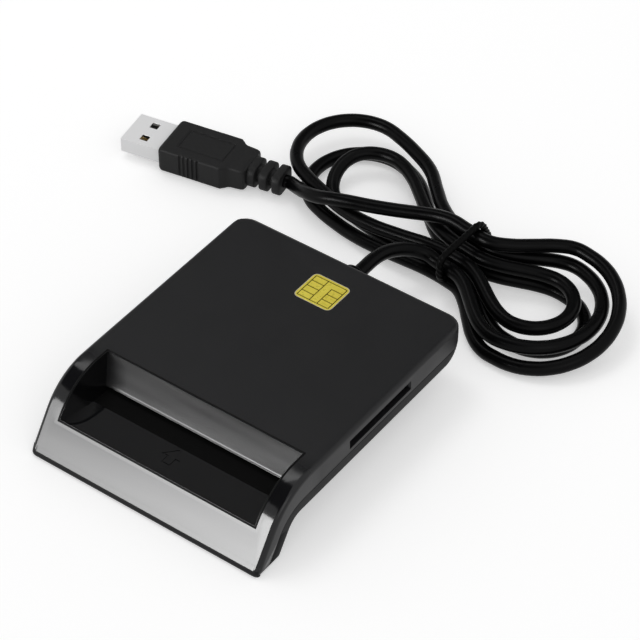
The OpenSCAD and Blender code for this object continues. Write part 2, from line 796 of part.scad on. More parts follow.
module sd_socket_base() color([0.15, 0.15, 0.16]) {
    outer = sd_w / 2 + sd_rail_w;
    difference() {
        span_box([sd_x0, sd_x1], [sd_y - outer, sd_y + outer],
            [board_top, board_top + sd_floor_t + sd_inner_h]);
        span_box([sd_x0 + sd_back_t, sd_x1 + over], [sd_y - sd_w / 2, sd_y + sd_w / 2],
            [board_top + sd_floor_t, board_top + sd_floor_t + sd_inner_h + over]);
    }
}

module sd_socket_shell() color([0.78, 0.78, 0.8]) {
    inner = sd_w / 2 + sd_rail_w;
    lid_z = board_top + sd_floor_t + sd_inner_h;
    difference() {
        span_box([sd_x0, sd_x1], [sd_y - inner - sheet_t, sd_y + inner + sheet_t],
            [board_top, lid_z + sheet_t]);
        span_box([sd_x0 - over, sd_x1 + over], [sd_y - inner, sd_y + inner],
            [board_top - over, lid_z]);
        for (s = [-1, 1]) span_box([sd_x0 + sd_depth / 2, sd_x0 + sd_depth / 2 + sd_window_l],
            [sd_y + s * sd_w / 4 - sd_window_w / 2, sd_y + s * sd_w / 4 + sd_window_w / 2],
            [lid_z - over, lid_z + sheet_t + over]);
    }
}

module sd_contact_springs() color([0.85, 0.7, 0.35])
    for (k = [0:sd_springs - 1])
        translate([sd_x0 + sd_back_t, sd_y + (k - (sd_springs - 1) / 2) * sd_pitch,
            board_top + sd_floor_t]) along_y(sd_spring_w)
            polygon([[0, 0], [sd_spring_l / 2, 0], [sd_spring_l, sd_spring_up],
                [sd_spring_l, sd_spring_up + sd_spring_t], [sd_spring_l / 2, sd_spring_t],
                [0, sd_spring_t]]);

module at_chip() {
    translate([chip_x, board_y + chip_set, board_top]) children();
}

module controller_chip() color([0.1, 0.1, 0.11])
    at_chip() span_box([-chip_w / 2, chip_w / 2], [-chip_w / 2, chip_w / 2], [0, chip_h]);

module controller_leads() color([0.8, 0.8, 0.82])
    at_chip() for (turn = [0:90:270], k = [1:chip_leads]) rotate([0, 0, turn])
        translate([chip_w / 2, -chip_w / 2 + k * chip_lead_pitch, 0])
            span_box([0, chip_lead_l], [-chip_lead_w / 2, chip_lead_w / 2], [0, chip_lead_h]);

module crystal_can() color([0.8, 0.8, 0.82])
    translate([chip_x, board_y + can_set, 0]) {
        span_box([-(can_l - can_w) / 2, (can_l - can_w) / 2], [-can_w / 2, can_w / 2],
            [board_top, board_top + can_h]);
        both_sides() translate([(can_l - can_w) / 2, 0, 0]) rod_z(can_w, board_top, board_top + can_h);
    }

module small_parts() color([0.7, 0.6, 0.45])
    for (p = bit_places_share)
        translate([p[0] * board_w, board_y + p[1] * board_l, board_top])
            span_box([-bit_w / 2, bit_w / 2], [-bit_l / 2, bit_l / 2], [0, bit_h]);

header_y = board_y + board_l - header_l;

module at_leads() {
    for (k = [0:3]) translate([header_x + (k - 1.5) * lead_pitch, 0, outlet_z]) children();
}

module cable_header() color([0.9, 0.9, 0.86])
    span_box([header_x - header_w / 2, header_x + header_w / 2],
        [header_y, header_y + header_l], [board_top, board_top + header_h]);

module cable_leads() color([0.75, 0.2, 0.18])
    at_leads() rod_y(lead_d, header_y + header_l, inner_rear - gland_in);

module cable_gland() color([0.06, 0.06, 0.06])
    translate([0, 0, outlet_z]) {
        rod_y(gland_in_d, inner_rear - gland_in, inner_rear);
        rod_y(gland_neck, inner_rear - sharp, rear_y + sharp);
        rod_y(gland_d, rear_y, rear_y + gland_out);
    }

// Direction of a route at one of its points
function unit(v) = v / norm(v);
function heading(p, i) =
    unit((i < len(p) - 1 ? unit(p[i + 1] - p[i]) : [0, 0, 0]) + (i > 0 ? unit(p[i] - p[i - 1]) : [0, 0, 0]));

// Round tube of diameter d along the points p
module tube(p, d, sides) {
    skin([for (i = [0:len(p) - 1])
        let(t = heading(p, i), s = unit(cross(t, [0, 0, 1])), u = cross(s, t))
        [for (k = [0:sides - 1]) let(a = 360 * (k + 0.5) / sides)
            p[i] + d / 2 * (cos(a) * s - sin(a) * u)]]);
}

function ramp(t) = (1 - cos(180 * min(max(t, 0), 1))) / 2;

// Reach u and sideways place v of a loop, a share q along its run
function loop_uv(c, q) =
    let(back = c[0] > 0 ? -1 : 1, k = q < 0.5 ? q : 1 - q, s = q < 0.5 ? 1 : -1,
        slot = q < 0.5 ? c[4] : c[5], u = c[1] * k / flank_share,
        turn = 180 * (q - flank_share) / (1 - 2 * flank_share))
    k < flank_share
        ? [u, slot + (s * back * c[2] - slot) * spread(c, u)]
        : [c[1] + c[2] * sin(turn), back * c[2] * cos(turn)];

// How far a loop has opened at reach u, from 0 at the waist to 1
function spread(c, u) =
    let(d = c[0] > 0 ? draw_right : draw_left) ramp((u - waist_straight) / (d - waist_straight));

function loop_point(c, q) =
    let(uv = loop_uv(c, q), o = spread(c, uv[0]), a = c[3] * o, x = c[0] * uv[0],
        z = c[6] + (c[7] - c[6]) * ramp((q - c[8]) / (c[9] - c[8])))
    at_waist([x * cos(a) - uv[1] * sin(a), x * sin(a) + uv[1] * cos(a), z + waist_lift * (1 - o)]);

function at_waist(p) =
    [waist[0] + p[0] * cos(waist_a) - p[1] * sin(waist_a),
     waist[1] + p[0] * sin(waist_a) + p[1] * cos(waist_a), p[2]];

hank_in = at_waist([-waist_straight, front_2, mid + waist_lift]);
hank_out = at_waist([-waist_straight, out_slot, top + waist_lift]);
hank_points = concat([hank_in],
    [for (c = loops) for (j = [0:loop_rings - 1]) loop_point(c, j / loop_rings)],
    [at_waist([0, out_slot, top + waist_lift]), hank_out]);

// Least gap between turns, over the points and the middles between them
function halves(p) = [for (i = [0:len(p) - 2]) each [p[i], (p[i] + p[i + 1]) / 2]];
function least_gap(p, apart) =
    min([for (i = [0:len(p) - 1 - apart]) for (j = [i + apart:len(p) - 1]) norm(p[i] - p[j])]) - cord_d;

module cord_hank() color([0.08, 0.08, 0.08]) {
    echo(least_gap_mm = least_gap(halves(hank_points), loop_rings));
    tube(hank_points, cord_d, hank_sides);
}

end_step = 2;
along_waist = at_waist([end_step, 0, 0]) - at_waist([0, 0, 0]);

module cord_lead() color([0.08, 0.08, 0.08])
    tube(concat(lead_route, [hank_in - along_waist, hank_in]), cord_d, cord_sides);

module cord_plug_lead() color([0.08, 0.08, 0.08])
    tube(concat([hank_out, hank_out - along_waist], plug_route), cord_d, cord_sides);

// Slots of the strands that the tie goes round, in v and z
tied = [[front_2, low], [back_1, low], [front_2, mid], [back_2, mid], [out_slot, top]];

module tied_hull(r) {
    hull() for (s = tied) translate([s[0], s[1] + waist_lift]) circle(r = r, $fn = 32);
}

module cord_tie() color([0.06, 0.06, 0.06])
    translate([waist[0], waist[1], 0]) rotate([0, 0, waist_a]) along_x(tie_w) difference() {
        tied_hull(cord_r + tie_gap + tie_t);
        tied_hull(cord_r + tie_gap);
    }

module at_plug() {
    translate(plug_at) rotate([0, 0, plug_a]) children();
}

module relief_bar(w, h, x0, x1) {
    translate([(x0 + x1) / 2, 0, 0]) along_x(x1 - x0) polygon(round_box(w, h, relief_r));
}

module plug_strain_relief() color([0.07, 0.07, 0.07]) at_plug() {
    pitch = relief_l / relief_ribs;
    relief_bar(relief_core_w, relief_core_h, 0, relief_l);
    for (k = [0:relief_ribs - 1])
        relief_bar(relief_w, relief_h, k * pitch, k * pitch + pitch * rib_share);
}

module plug_overmould() color([0.07, 0.07, 0.07]) at_plug() difference() {
    skin([for (s = grip_shares)
        [for (p = round_box(grip_w * s[1], grip_h * s[2], grip_r)) [relief_l + grip_l * s[0], p[0], p[1]]]]);
    span_box([relief_l + grip_l - shell_in, relief_l + grip_l + over],
        [-usb_w / 2, usb_w / 2], [-usb_h / 2, usb_h / 2]);
    for (s = [-1, 1], k = [0:grip_grooves - 1])
        translate([relief_l + grip_l * groove_from_share + k * groove_pitch, s * grip_w / 2, 0])
            cube([grip_groove_w, 2 * grip_groove_d, grip_h + over], center = true);
    translate([relief_l + grip_l * panel_from_share + panel_l / 2, 0, grip_h / 2 - panel_d])
        linear_extrude(panel_d + over) polygon(round_box(panel_l, panel_w, grip_groove_w));
}

module plug_shell() color([0.8, 0.8, 0.82]) at_plug() {
    x0 = relief_l + grip_l - shell_in;
    x1 = relief_l + grip_l + usb_out;
    difference() {
        span_box([x0, x1], [-usb_w / 2, usb_w / 2], [-usb_h / 2, usb_h / 2]);
        span_box([x0 + shell_t, x1 + over], [-usb_w / 2 + shell_t, usb_w / 2 - shell_t],
            [-usb_h / 2 + shell_t, usb_h / 2 - shell_t]);
        for (s = [-1, 1]) span_box([x0 + shell_in + latch_from, x0 + shell_in + latch_from + latch_l],
            [s * latch_x - latch_w / 2, s * latch_x + latch_w / 2],
            [-usb_h / 2 - over, usb_h / 2 + over]);
    }
}

tongue_x0 = relief_l + grip_l - shell_in + shell_t;

module plug_tongue() color([0.9, 0.9, 0.88]) at_plug()
    span_box([tongue_x0, relief_l + grip_l + usb_out - tongue_back],
        [-tongue_w / 2, tongue_w / 2], [-usb_h / 2 + shell_t, -usb_h / 2 + shell_t + tongue_h]);

module plug_contacts() color([0.85, 0.7, 0.35]) at_plug()
    for (k = [0:3]) translate([relief_l + grip_l + usb_out - tongue_back - usb_pin_l - tongue_back,
        (k - 1.5) * usb_pin_pitch, -usb_h / 2 + shell_t + tongue_h])
        span_box([0, usb_pin_l], [-usb_pin_w / 2, usb_pin_w / 2], [0, usb_pin_t]);

module cover_screws() color([0.7, 0.7, 0.72]) at_legs() {
    rod_z(head_d, seat_z - head_h, seat_z);
    rod_z(screw_d, seat_z - sharp, floor_z + screw_in - slip);
}

module foot_pads() color([0.1, 0.1, 0.1]) {
    at_legs() rod_z(pad_d - 2 * slip, 0, pad_t);
    both_sides() span_box([front_pad_x - front_pad_w / 2 + slip, front_pad_x + front_pad_w / 2 - slip],
        [front_pad_y(0) + slip, front_pad_y(1) - slip], [0, front_pad_t]);
}

top_cover();
bottom_cover();
mouth_insert();
chip_emblem_plate();
chip_emblem_pads();
main_board();
card_connector_frame();
contact_row_front();
contact_row_rear();
card_switch_housing();
card_switch_plunger();
sd_socket_base();
sd_socket_shell();
sd_contact_springs();
controller_chip();
controller_leads();
crystal_can();
small_parts();
cable_header();
cable_leads();
cable_gland();
cord_lead();
cord_hank();
cord_plug_lead();
cord_tie();
plug_strain_relief();
plug_overmould();
plug_shell();
plug_tongue();
plug_contacts();
cover_screws();
foot_pads();
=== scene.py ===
# %% [markdown]
# # A desktop card reader, dressed in Blender
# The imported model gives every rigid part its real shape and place. This script
# adds what shapes alone can't: finishes, soft edges, the cord, the studio.
# The frame comes in first, and nothing in it is moved afterwards.

# %% Load the frame
import math

import bmesh
import bpy
from mathutils import Matrix, Vector


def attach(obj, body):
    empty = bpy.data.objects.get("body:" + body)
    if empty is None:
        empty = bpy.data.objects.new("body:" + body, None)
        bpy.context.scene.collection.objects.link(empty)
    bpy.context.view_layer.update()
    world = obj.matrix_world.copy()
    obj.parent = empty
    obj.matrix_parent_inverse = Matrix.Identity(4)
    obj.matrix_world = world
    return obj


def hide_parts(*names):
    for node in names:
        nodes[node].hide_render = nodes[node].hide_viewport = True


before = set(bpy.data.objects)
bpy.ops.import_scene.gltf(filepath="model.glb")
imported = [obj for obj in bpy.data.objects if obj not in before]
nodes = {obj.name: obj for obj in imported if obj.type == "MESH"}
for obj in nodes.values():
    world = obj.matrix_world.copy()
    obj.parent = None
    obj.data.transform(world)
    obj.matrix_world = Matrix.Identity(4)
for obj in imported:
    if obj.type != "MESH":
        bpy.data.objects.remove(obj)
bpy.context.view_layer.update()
MM = 0.001
print("nodes in the frame:", len(nodes))

# %% [markdown]
# ## Camera
# A product photograph is taken with a long lens from above one corner. Two sets
# of parallel edges on the casing give the turn and tilt, and the plug's metal
# shell gives the distance, so the camera is written down once and left alone.

# %% Place the camera
camera_place = (0.29553, -0.37453, 0.47393)
camera_tilt = math.radians(90 - 42.858)
camera_turn = math.radians(36.199)
focal_length = 151.46
sensor_width = 36

lens = bpy.data.cameras.new("photo_camera")
lens.lens = focal_length
lens.sensor_width = sensor_width
camera = bpy.data.objects.new("photo_camera", lens)
camera.location = camera_place
camera.rotation_euler = (camera_tilt, 0, camera_turn)
bpy.context.collection.objects.link(camera)
bpy.context.scene.camera = camera
print("camera stands", round(Vector(camera_place).length, 3), "m from the middle")

# %% [markdown]
# ## Route of the cord
# The cord leaves the rear wall, runs to a waist where a tie holds it, opens into
# three loops on the left and four on the right, and ends in the plug. A
# cord keeps its length, so its route is worked out from a few sizes, the same
# ones that the solid model uses, and not drawn freehand.

# %% Sizes of the hank, in millimetres
cord_d = 3.8
level, low, strand = 4.35, 1.9, 4.4
mid, top = low + level, low + 2 * level
waist = Vector((15, 72.5, 0))
waist_turn = math.radians(-8)
waist_lift = 2.1
waist_straight = 1.9
draw = {1: 23.5, -1: 42}
loop_steps = 24
flank = 0.25
front_2, front_1, back_1, back_2 = -1.5 * strand, -0.5 * strand, 0.5 * strand, 1.5 * strand
out_slot = strand
# side, reach, radius, yaw, slots in and out, levels in and out, where it climbs
loops = [
    (1, 23, 17.6, 3, front_2, back_2, mid, mid, 0, 1),
    (-1, 52.5, 15.2, -12.5, back_2, front_1, mid, mid, 0, 1),
    (1, 23, 10.4, 3, front_1, back_1, mid, mid, 0, 1),
    (-1, 42, 10.2, -11, back_1, front_1, mid, low, 0.42, 0.74),
    (1, 26, 11.6, 1, front_1, back_1, low, low, 0, 1),
    (-1, 44, 14.6, -9, back_1, front_2, low, low, 0, 1),
    (1, 26, 19.5, 3, front_2, out_slot, low, top, 0.25, 0.8),
]
lead_route = [(0, 44.6, 13.6), (0, 48.5, 13.6), (0, 52.5, 13.5), (0.4, 56.5, 13),
              (1.5, 60.2, 12.1), (3.2, 63.2, 11.1), (5.3, 65.4, 10), (7.8, 66.6, 9)]
plug_route = [(8, 77.8, 12.9), (4, 77.6, 12.6), (0, 76.6, 12.2), (-5, 74.9, 11.7),
              (-10, 73.2, 11.3), (-15, 71.5, 11.1), (-20, 69.9, 11), (-25, 68.8, 10.3),
              (-30, 68.6, 8.8), (-34.5, 69.8, 7.2), (-38.2, 71.8, 5.3), (-40.8, 73.1, 4.3),
              (-42.6, 73.647, 4), (-44, 73.4, 4)]
print("loops:", len(loops))


# %% Points of one loop
def ramp(share):
    """Smooth climb from 0 to 1."""
    return (1 - math.cos(math.pi * min(max(share, 0), 1))) / 2


def at_waist(x, y, z):
    """A point beside the tie, turned with the hank."""
    spot = Matrix.Rotation(waist_turn, 3, "Z") @ Vector((x, y, 0)) + waist
    return Vector((spot.x, spot.y, z))


def opened(side, reach):
    """How far a loop has opened at a reach from the tie."""
    return ramp((reach - waist_straight) / (draw[side] - waist_straight))


def loop_point(loop, share):
    """Point of a loop at a share of its run."""
    side, reach, radius, yaw, slot_in, slot_out, z_in, z_out, climb_from, climb_to = loop
    back = -1 if side > 0 else 1
    half = min(share, 1 - share)
    first = share < 0.5
    if half < flank:
        u = reach * half / flank
        slot = slot_in if first else slot_out
        edge = (1 if first else -1) * back * radius
        v = slot + (edge - slot) * opened(side, u)
    else:
        turn = math.pi * (share - flank) / (1 - 2 * flank)
        u, v = reach + radius * math.sin(turn), back * radius * math.cos(turn)
    o = opened(side, u)
    a = math.radians(yaw) * o
    x = side * u
    z = z_in + (z_out - z_in) * ramp((share - climb_from) / (climb_to - climb_from))
    return at_waist(x * math.cos(a) - v * math.sin(a), x * math.sin(a) + v * math.cos(a),
                    z + waist_lift * (1 - o))


print("first loop's far end, in mm:", [round(c, 1) for c in loop_point(loops[0], 0.5)])

# %% Join the whole route
end_step = 2
hank_in = at_waist(-waist_straight, front_2, mid + waist_lift)
hank_out = at_waist(-waist_straight, out_slot, top + waist_lift)
along = at_waist(end_step, 0, 0) - at_waist(0, 0, 0)
route = [Vector(p) for p in lead_route] + [hank_in - along, hank_in]
route += [loop_point(loop, k / loop_steps) for loop in loops for k in range(loop_steps)]
route += [at_waist(0, out_slot, top + waist_lift), hank_out, hank_out - along]
route += [Vector(p) for p in plug_route]
route = [p * MM for p in route]
print("cord points:", len(route))


# %% Draw the cord as one curve
def smooth_curve(name, points, radius, steps=4):
    """Round line through the points."""
    curve = bpy.data.curves.new(name, "CURVE")
    curve.dimensions = "3D"
    spline = curve.splines.new("BEZIER")
    spline.bezier_points.add(len(points) - 1)
    for knot, place in zip(spline.bezier_points, points):
        knot.co = place
        knot.handle_left_type = knot.handle_right_type = "AUTO"
    spline.resolution_u = steps
    curve.bevel_depth = radius
    curve.bevel_resolution = 5
    curve.use_fill_caps = True
    piece = bpy.data.objects.new(name, curve)
    bpy.context.collection.objects.link(piece)
    return piece


cord = smooth_curve("cord", route, cord_d / 2 * MM)

# %% [markdown]
# ## Finishes
# Each finish is a Principled shader. What is the same all over is typed on the
# shader's socket, and only what changes from place to place, such as the grain
# of moulded plastic, comes through texture nodes in metres.


# %% One shader for each finish
def finish_of(name, colour, rough, specular=0.5, metallic=0.0):
    """New material with one Principled shader."""
    material = bpy.data.materials.new(name)
    material.use_nodes = True
    shader = material.node_tree.nodes["Principled BSDF"]
    shader.inputs["Base Color"].default_value = (*colour, 1)
    shader.inputs["Roughness"].default_value = rough
    shader.inputs["Specular IOR Level"].default_value = specular
    shader.inputs["Metallic"].default_value = metallic
    return material


def shader_of(material):
    """Principled shader of a material."""
    return material.node_tree.nodes["Principled BSDF"]


def node(material, kind, **values):
    """New shader node with its values set."""
    made = material.node_tree.nodes.new(kind)
    for key, value in values.items():
        if hasattr(made, key):
            setattr(made, key, value)
        else:
            made.inputs[key.replace("_", " ")].default_value = value
    return made


def join(material, source, target):
    """Link one socket to another."""
    material.node_tree.links.new(source, target)


print("shader helpers are ready")


# %% Places, noise and sums
def combine(material, kind, *sources):
    """Math on two sources, each a socket or a plain number."""
    made = node(material, "ShaderNodeMath", operation=kind)
    for source, target in zip(sources, made.inputs):
        if isinstance(source, (int, float)):
            target.default_value = source
        else:
            join(material, source, target)
    return made.outputs["Value"]


def object_axis(material, axis):
    """Place of a point along one axis, in metres."""
    place = node(material, "ShaderNodeTexCoord")
    split = node(material, "ShaderNodeSeparateXYZ")
    join(material, place.outputs["Object"], split.inputs["Vector"])
    return split.outputs[axis]


def noise(material, size, detail=3.0, stretch=(1, 1, 1)):
    """Noise whose features are about size metres wide."""
    place = node(material, "ShaderNodeTexCoord")
    scale = node(material, "ShaderNodeMapping")
    scale.inputs["Scale"].default_value = stretch
    texture = node(material, "ShaderNodeTexNoise", Scale=1 / size, Detail=detail)
    join(material, place.outputs["Object"], scale.inputs["Vector"])
    join(material, scale.outputs["Vector"], texture.inputs["Vector"])
    return texture.outputs["Fac"]


def spread(material, source, low_value, high_value, low_in=0.3, high_in=0.7):
    """Map a noise, a place or a switch to a span of values."""
    span = node(material, "ShaderNodeMapRange")
    for key, value in zip(("From Min", "From Max", "To Min", "To Max"),
                          (low_in, high_in, low_value, high_value)):
        span.inputs[key].default_value = value
    join(material, source, span.inputs["Value"])
    return span.outputs["Result"]


print("texture helpers are ready")


# %% What wanders over a surface
def vary_rough(material, size, rough_low, rough_high, stretch=(1, 1, 1)):
    """Let the roughness wander between two values."""
    patches = spread(material, noise(material, size, stretch=stretch), rough_low, rough_high)
    join(material, patches, shader_of(material).inputs["Roughness"])


def grain(material, size, height, strength=1.0, stretch=(1, 1, 1)):
    """Fine bumps of a width and height in metres."""
    bump = node(material, "ShaderNodeBump", Strength=strength, Distance=height)
    join(material, noise(material, size, stretch=stretch), bump.inputs["Height"])
    join(material, bump.outputs["Normal"], shader_of(material).inputs["Normal"])
    return bump


def vary_colour(material, size, dark, light, stretch=(1, 1, 1)):
    """Let the colour wander between two shades."""
    mix = node(material, "ShaderNodeMix", data_type="RGBA")
    for socket in mix.inputs:
        if socket.type == "RGBA":
            socket.default_value = (*(dark if socket.name == "A" else light), 1)
    join(material, spread(material, noise(material, size, stretch=stretch), 0, 1),
         mix.inputs["Factor"])
    colour = [o for o in mix.outputs if o.type == "RGBA"][0]
    join(material, colour, shader_of(material).inputs["Base Color"])


print("finish helpers are ready")

# %% [markdown]
# ## Casing finishes
# The top cover is one moulding with two finishes. Its deck and walls have a
# fine satin texture from the mould, and the front, from the bend on, is
# polished down to the chin's tip. One material does both: its roughness and
# grain fade past the bend and come back at the tip.

# %% Satin that turns glossy past the bend
bend_y, polish_run = -0.0219, 0.004
tip_low, tip_high = 0.00155, 0.00175
patch_size, patch_drift = 0.012, 0.03
grain_size, grain_height, grain_strength = 0.00022, 0.000012, 0.5


def casing_finish(name, colour, satin, polished, specular):
    """Moulded plastic, polished between the bend and the chin's tip, satin elsewhere."""
    material = finish_of(name, colour, satin, specular)
    back = spread(material, object_axis(material, "Y"), 0, 1,
                  bend_y - polish_run, bend_y + polish_run)
    tip = spread(material, object_axis(material, "Z"), 1, 0, tip_low, tip_high)
    satin_share = combine(material, "MAXIMUM", back, tip)
    patch = spread(material, noise(material, patch_size), satin - patch_drift,
                   satin + patch_drift)
    blend = node(material, "ShaderNodeMix")
    blend.inputs["A"].default_value = polished
    join(material, satin_share, blend.inputs["Factor"])
    join(material, patch, blend.inputs["B"])
    join(material, blend.outputs["Result"], shader_of(material).inputs["Roughness"])
    bump = grain(material, grain_size, grain_height, grain_strength)
    join(material, combine(material, "MULTIPLY", satin_share, grain_strength),
         bump.inputs["Strength"])
    return material


top_plastic = casing_finish("top_plastic", (0.008, 0.008, 0.009), 0.42, 0.11, 0.3)
bottom_plastic = finish_of("bottom_plastic", (0.010, 0.010, 0.0105), 0.5, 0.12)
vary_rough(bottom_plastic, 0.01, 0.46, 0.54)
grain(bottom_plastic, 0.0002, 0.000014, 0.5)
mouth_plastic = finish_of("mouth_plastic", (0.003, 0.003, 0.0033), 0.14, 0.2)
vary_rough(mouth_plastic, 0.006, 0.11, 0.17, (0.2, 1, 1))
floor_gloss = finish_of("mouth_floor_gloss", (0.006, 0.006, 0.0065), 0.05, 0.52)
vary_rough(floor_gloss, 0.008, 0.04, 0.07)
scoop_plastic = finish_of("scoop_plastic", (0.010, 0.010, 0.0105), 0.2, 0.42)
vary_rough(scoop_plastic, 0.004, 0.15, 0.26, (0.08, 1, 1))
grain(scoop_plastic, 0.0016, 0.00002, 0.35, (0.05, 1, 1))
# dull black for the strip under the lip: painted reflection of the dark slot in the glossy floor
painted_reflection_black = finish_of("painted_reflection_black", (0.003, 0.003, 0.003), 0.6, 0.05)
vary_rough(painted_reflection_black, 0.003, 0.55, 0.7)
bead_black = finish_of("bead_black", (0.003, 0.003, 0.003), 0.5, 0.1)
vary_rough(bead_black, 0.002, 0.45, 0.58)
print("casing finishes:", top_plastic.name, bottom_plastic.name, mouth_plastic.name)

# %% [markdown]
# ## Small finishes
# Rubber scatters light, gold and tinned sheet mirror it, and a solder mask is a
# clear green lacquer. Each gets the one or two effects that an eye looks for.

# %% Rubber, cord and plug
jacket = finish_of("cord_jacket", (0.002, 0.002, 0.0022), 0.3, 0.07)
vary_rough(jacket, 0.004, 0.26, 0.34)
grain(jacket, 0.0004, 0.00001, 0.3)
grip_rubber = finish_of("grip_rubber", (0.019, 0.019, 0.0193), 0.5, 0.12)
vary_rough(grip_rubber, 0.002, 0.46, 0.56)
grain(grip_rubber, 0.00018, 0.00002, 0.6)
tie_rubber = finish_of("tie_rubber", (0.002, 0.002, 0.002), 0.4, 0.05)
vary_rough(tie_rubber, 0.002, 0.35, 0.48)
foot_rubber = finish_of("foot_rubber", (0.02, 0.02, 0.02), 0.75, 0.3)
grain(foot_rubber, 0.0004, 0.00003, 0.6)
print("rubbers:", jacket.name, grip_rubber.name, tie_rubber.name, foot_rubber.name)

# %% Metals
gold = finish_of("gold_pads", (0.88, 0.74, 0.08), 0.3, metallic=0.2)
vary_colour(gold, 0.004, (0.86, 0.72, 0.075), (0.93, 0.80, 0.095))
vary_rough(gold, 0.001, 0.24, 0.36)
pale_gold = finish_of("emblem_rim", (0.80, 0.74, 0.55), 0.35, metallic=0.5)
vary_rough(pale_gold, 0.001, 0.3, 0.42)
nickel = finish_of("plug_nickel", (0.98, 0.98, 0.985), 0.3, metallic=0.05)
vary_rough(nickel, 0.0006, 0.18, 0.27, (1, 0.08, 1))
tinned = finish_of("tinned_sheet", (0.7, 0.7, 0.71), 0.3, metallic=1.0)
vary_rough(tinned, 0.002, 0.24, 0.38, (1, 0.15, 1))
spring_gold = finish_of("spring_gold", (0.78, 0.6, 0.3), 0.25, metallic=1.0)
vary_rough(spring_gold, 0.001, 0.2, 0.32)
zinc = finish_of("screw_zinc", (0.6, 0.6, 0.63), 0.33, metallic=1.0)
vary_rough(zinc, 0.0008, 0.28, 0.42)
print("metals:", gold.name, pale_gold.name, nickel.name, tinned.name, zinc.name)

# %% Plastics inside
recess_black = finish_of("recess_black", (0.006, 0.006, 0.006), 0.5, 0.2)
vary_rough(recess_black, 0.001, 0.45, 0.6)
mask_green = finish_of("solder_mask", (0.02, 0.14, 0.06), 0.25, 0.5)
vary_colour(mask_green, 0.004, (0.015, 0.11, 0.05), (0.03, 0.17, 0.08))
cream = finish_of("cream_nylon", (0.72, 0.71, 0.66), 0.45, 0.4)
vary_rough(cream, 0.003, 0.4, 0.52)
dark_nylon = finish_of("dark_nylon", (0.02, 0.02, 0.021), 0.5, 0.35)
vary_rough(dark_nylon, 0.002, 0.44, 0.58)
chip_black = finish_of("chip_black", (0.018, 0.018, 0.02), 0.6, 0.3)
grain(chip_black, 0.0003, 0.00002, 0.5)
ceramic = finish_of("ceramic", (0.42, 0.31, 0.2), 0.5, 0.4)
vary_colour(ceramic, 0.002, (0.36, 0.26, 0.16), (0.5, 0.38, 0.26))
wire_red = finish_of("wire_jacket", (0.5, 0.05, 0.04), 0.35, 0.5)
vary_rough(wire_red, 0.002, 0.3, 0.42)
print("materials:", len(bpy.data.materials))

# %% [markdown]
# ## Pieces from the frame
# A solid from the model has knife-sharp edges, and no moulded part does. A copy
# of the node's mesh is cleaned of the seams that the file format leaves, its
# flat faces are joined again, and its edges are rounded by a fraction of a
# millimetre, so that they catch the light.


# %% Show and shade a piece
def put(mesh, name):
    """Show a mesh as a new piece."""
    piece = bpy.data.objects.new(name, mesh)
    bpy.context.collection.objects.link(piece)
    return piece


def smooth(mesh, angle):
    """Shade smooth, apart from edges sharper than the angle in degrees."""
    for face in mesh.polygons:
        face.use_smooth = True
    mesh.set_sharp_from_angle(angle=math.radians(angle))


def apply_all(piece):
    """Turn the modifiers into mesh."""
    depsgraph = bpy.context.evaluated_depsgraph_get()
    mesh = bpy.data.meshes.new_from_object(piece.evaluated_get(depsgraph))
    piece.modifiers.clear()
    piece.data = mesh
    return mesh


def even_normals(piece):
    """Let the large faces set the shading, so that flat stays flat."""
    shading = piece.modifiers.new("shading", "WEIGHTED_NORMAL")
    shading.keep_sharp = True
    shading.weight = 100
    apply_all(piece)


print("shading helpers are ready")

# %% Copy a node and soften its edges
weld_gap, flat_angle = 0.000002, 1


def dress(source, material, body="casing", bevel=0.1, segments=2, edge=35):
    """Softened copy of a node, standing for it. bevel is in millimetres."""
    mesh = nodes[source].data.copy()
    mesh.materials.clear()
    mesh.materials.append(material)
    shape = bmesh.new()
    shape.from_mesh(mesh)
    bmesh.ops.remove_doubles(shape, verts=shape.verts, dist=weld_gap)
    if bevel:
        bmesh.ops.dissolve_limit(shape, angle_limit=math.radians(flat_angle),
                                 verts=shape.verts, edges=shape.edges)
    shape.to_mesh(mesh)
    shape.free()
    for layer in list(mesh.color_attributes):
        mesh.color_attributes.remove(layer)
    piece = put(mesh, source + "_dressed")
    if bevel:
        rounding = piece.modifiers.new("rounding", "BEVEL")
        rounding.width = bevel * MM
        rounding.segments = segments
        rounding.limit_method = "ANGLE"
        rounding.angle_limit = math.radians(edge)
        rounding.use_clamp_overlap = True
        apply_all(piece)
    smooth(piece.data, edge)
    even_normals(piece)
    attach(piece, body)
    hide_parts(source)
    return piece


print("dress() is ready")

# %% [markdown]
# ## Pieces drawn from scratch
# Where a node's shape is too plain, a piece is drawn for it. A skin runs through
# rings of points, as a boat's hull runs over its frames, and a plate is an
# outline with a thickness.


# %% Outlines and skins
def rounded_outline(width, height, radius, count):
    """Evenly spaced points of a rounded rectangle, with their outward directions."""
    radius = min(radius, width / 2, height / 2)
    flat_w, flat_h = width / 2 - radius, height / 2 - radius
    corner = math.pi * radius / 2
    sides = [2 * flat_h, corner, 2 * flat_w, corner, 2 * flat_h, corner, 2 * flat_w, corner]
    total = sum(sides)
    points = []
    for k in range(count):
        run = total * k / count
        piece = 0
        while run > sides[piece] and piece < 7:
            run -= sides[piece]
            piece += 1
        turn = math.radians(90 * (piece // 2))
        axis = Vector((math.cos(turn), math.sin(turn)))
        along = Vector((-math.sin(turn), math.cos(turn)))
        far, wide = (flat_w, flat_h) if piece // 2 % 2 == 0 else (flat_h, flat_w)
        if piece % 2 == 0:
            points.append((axis * (far + radius) + along * (run - wide), axis))
        else:
            a = run / radius
            out = axis * math.cos(a) + along * math.sin(a)
            points.append((axis * far + along * wide + out * radius, out))
    return points


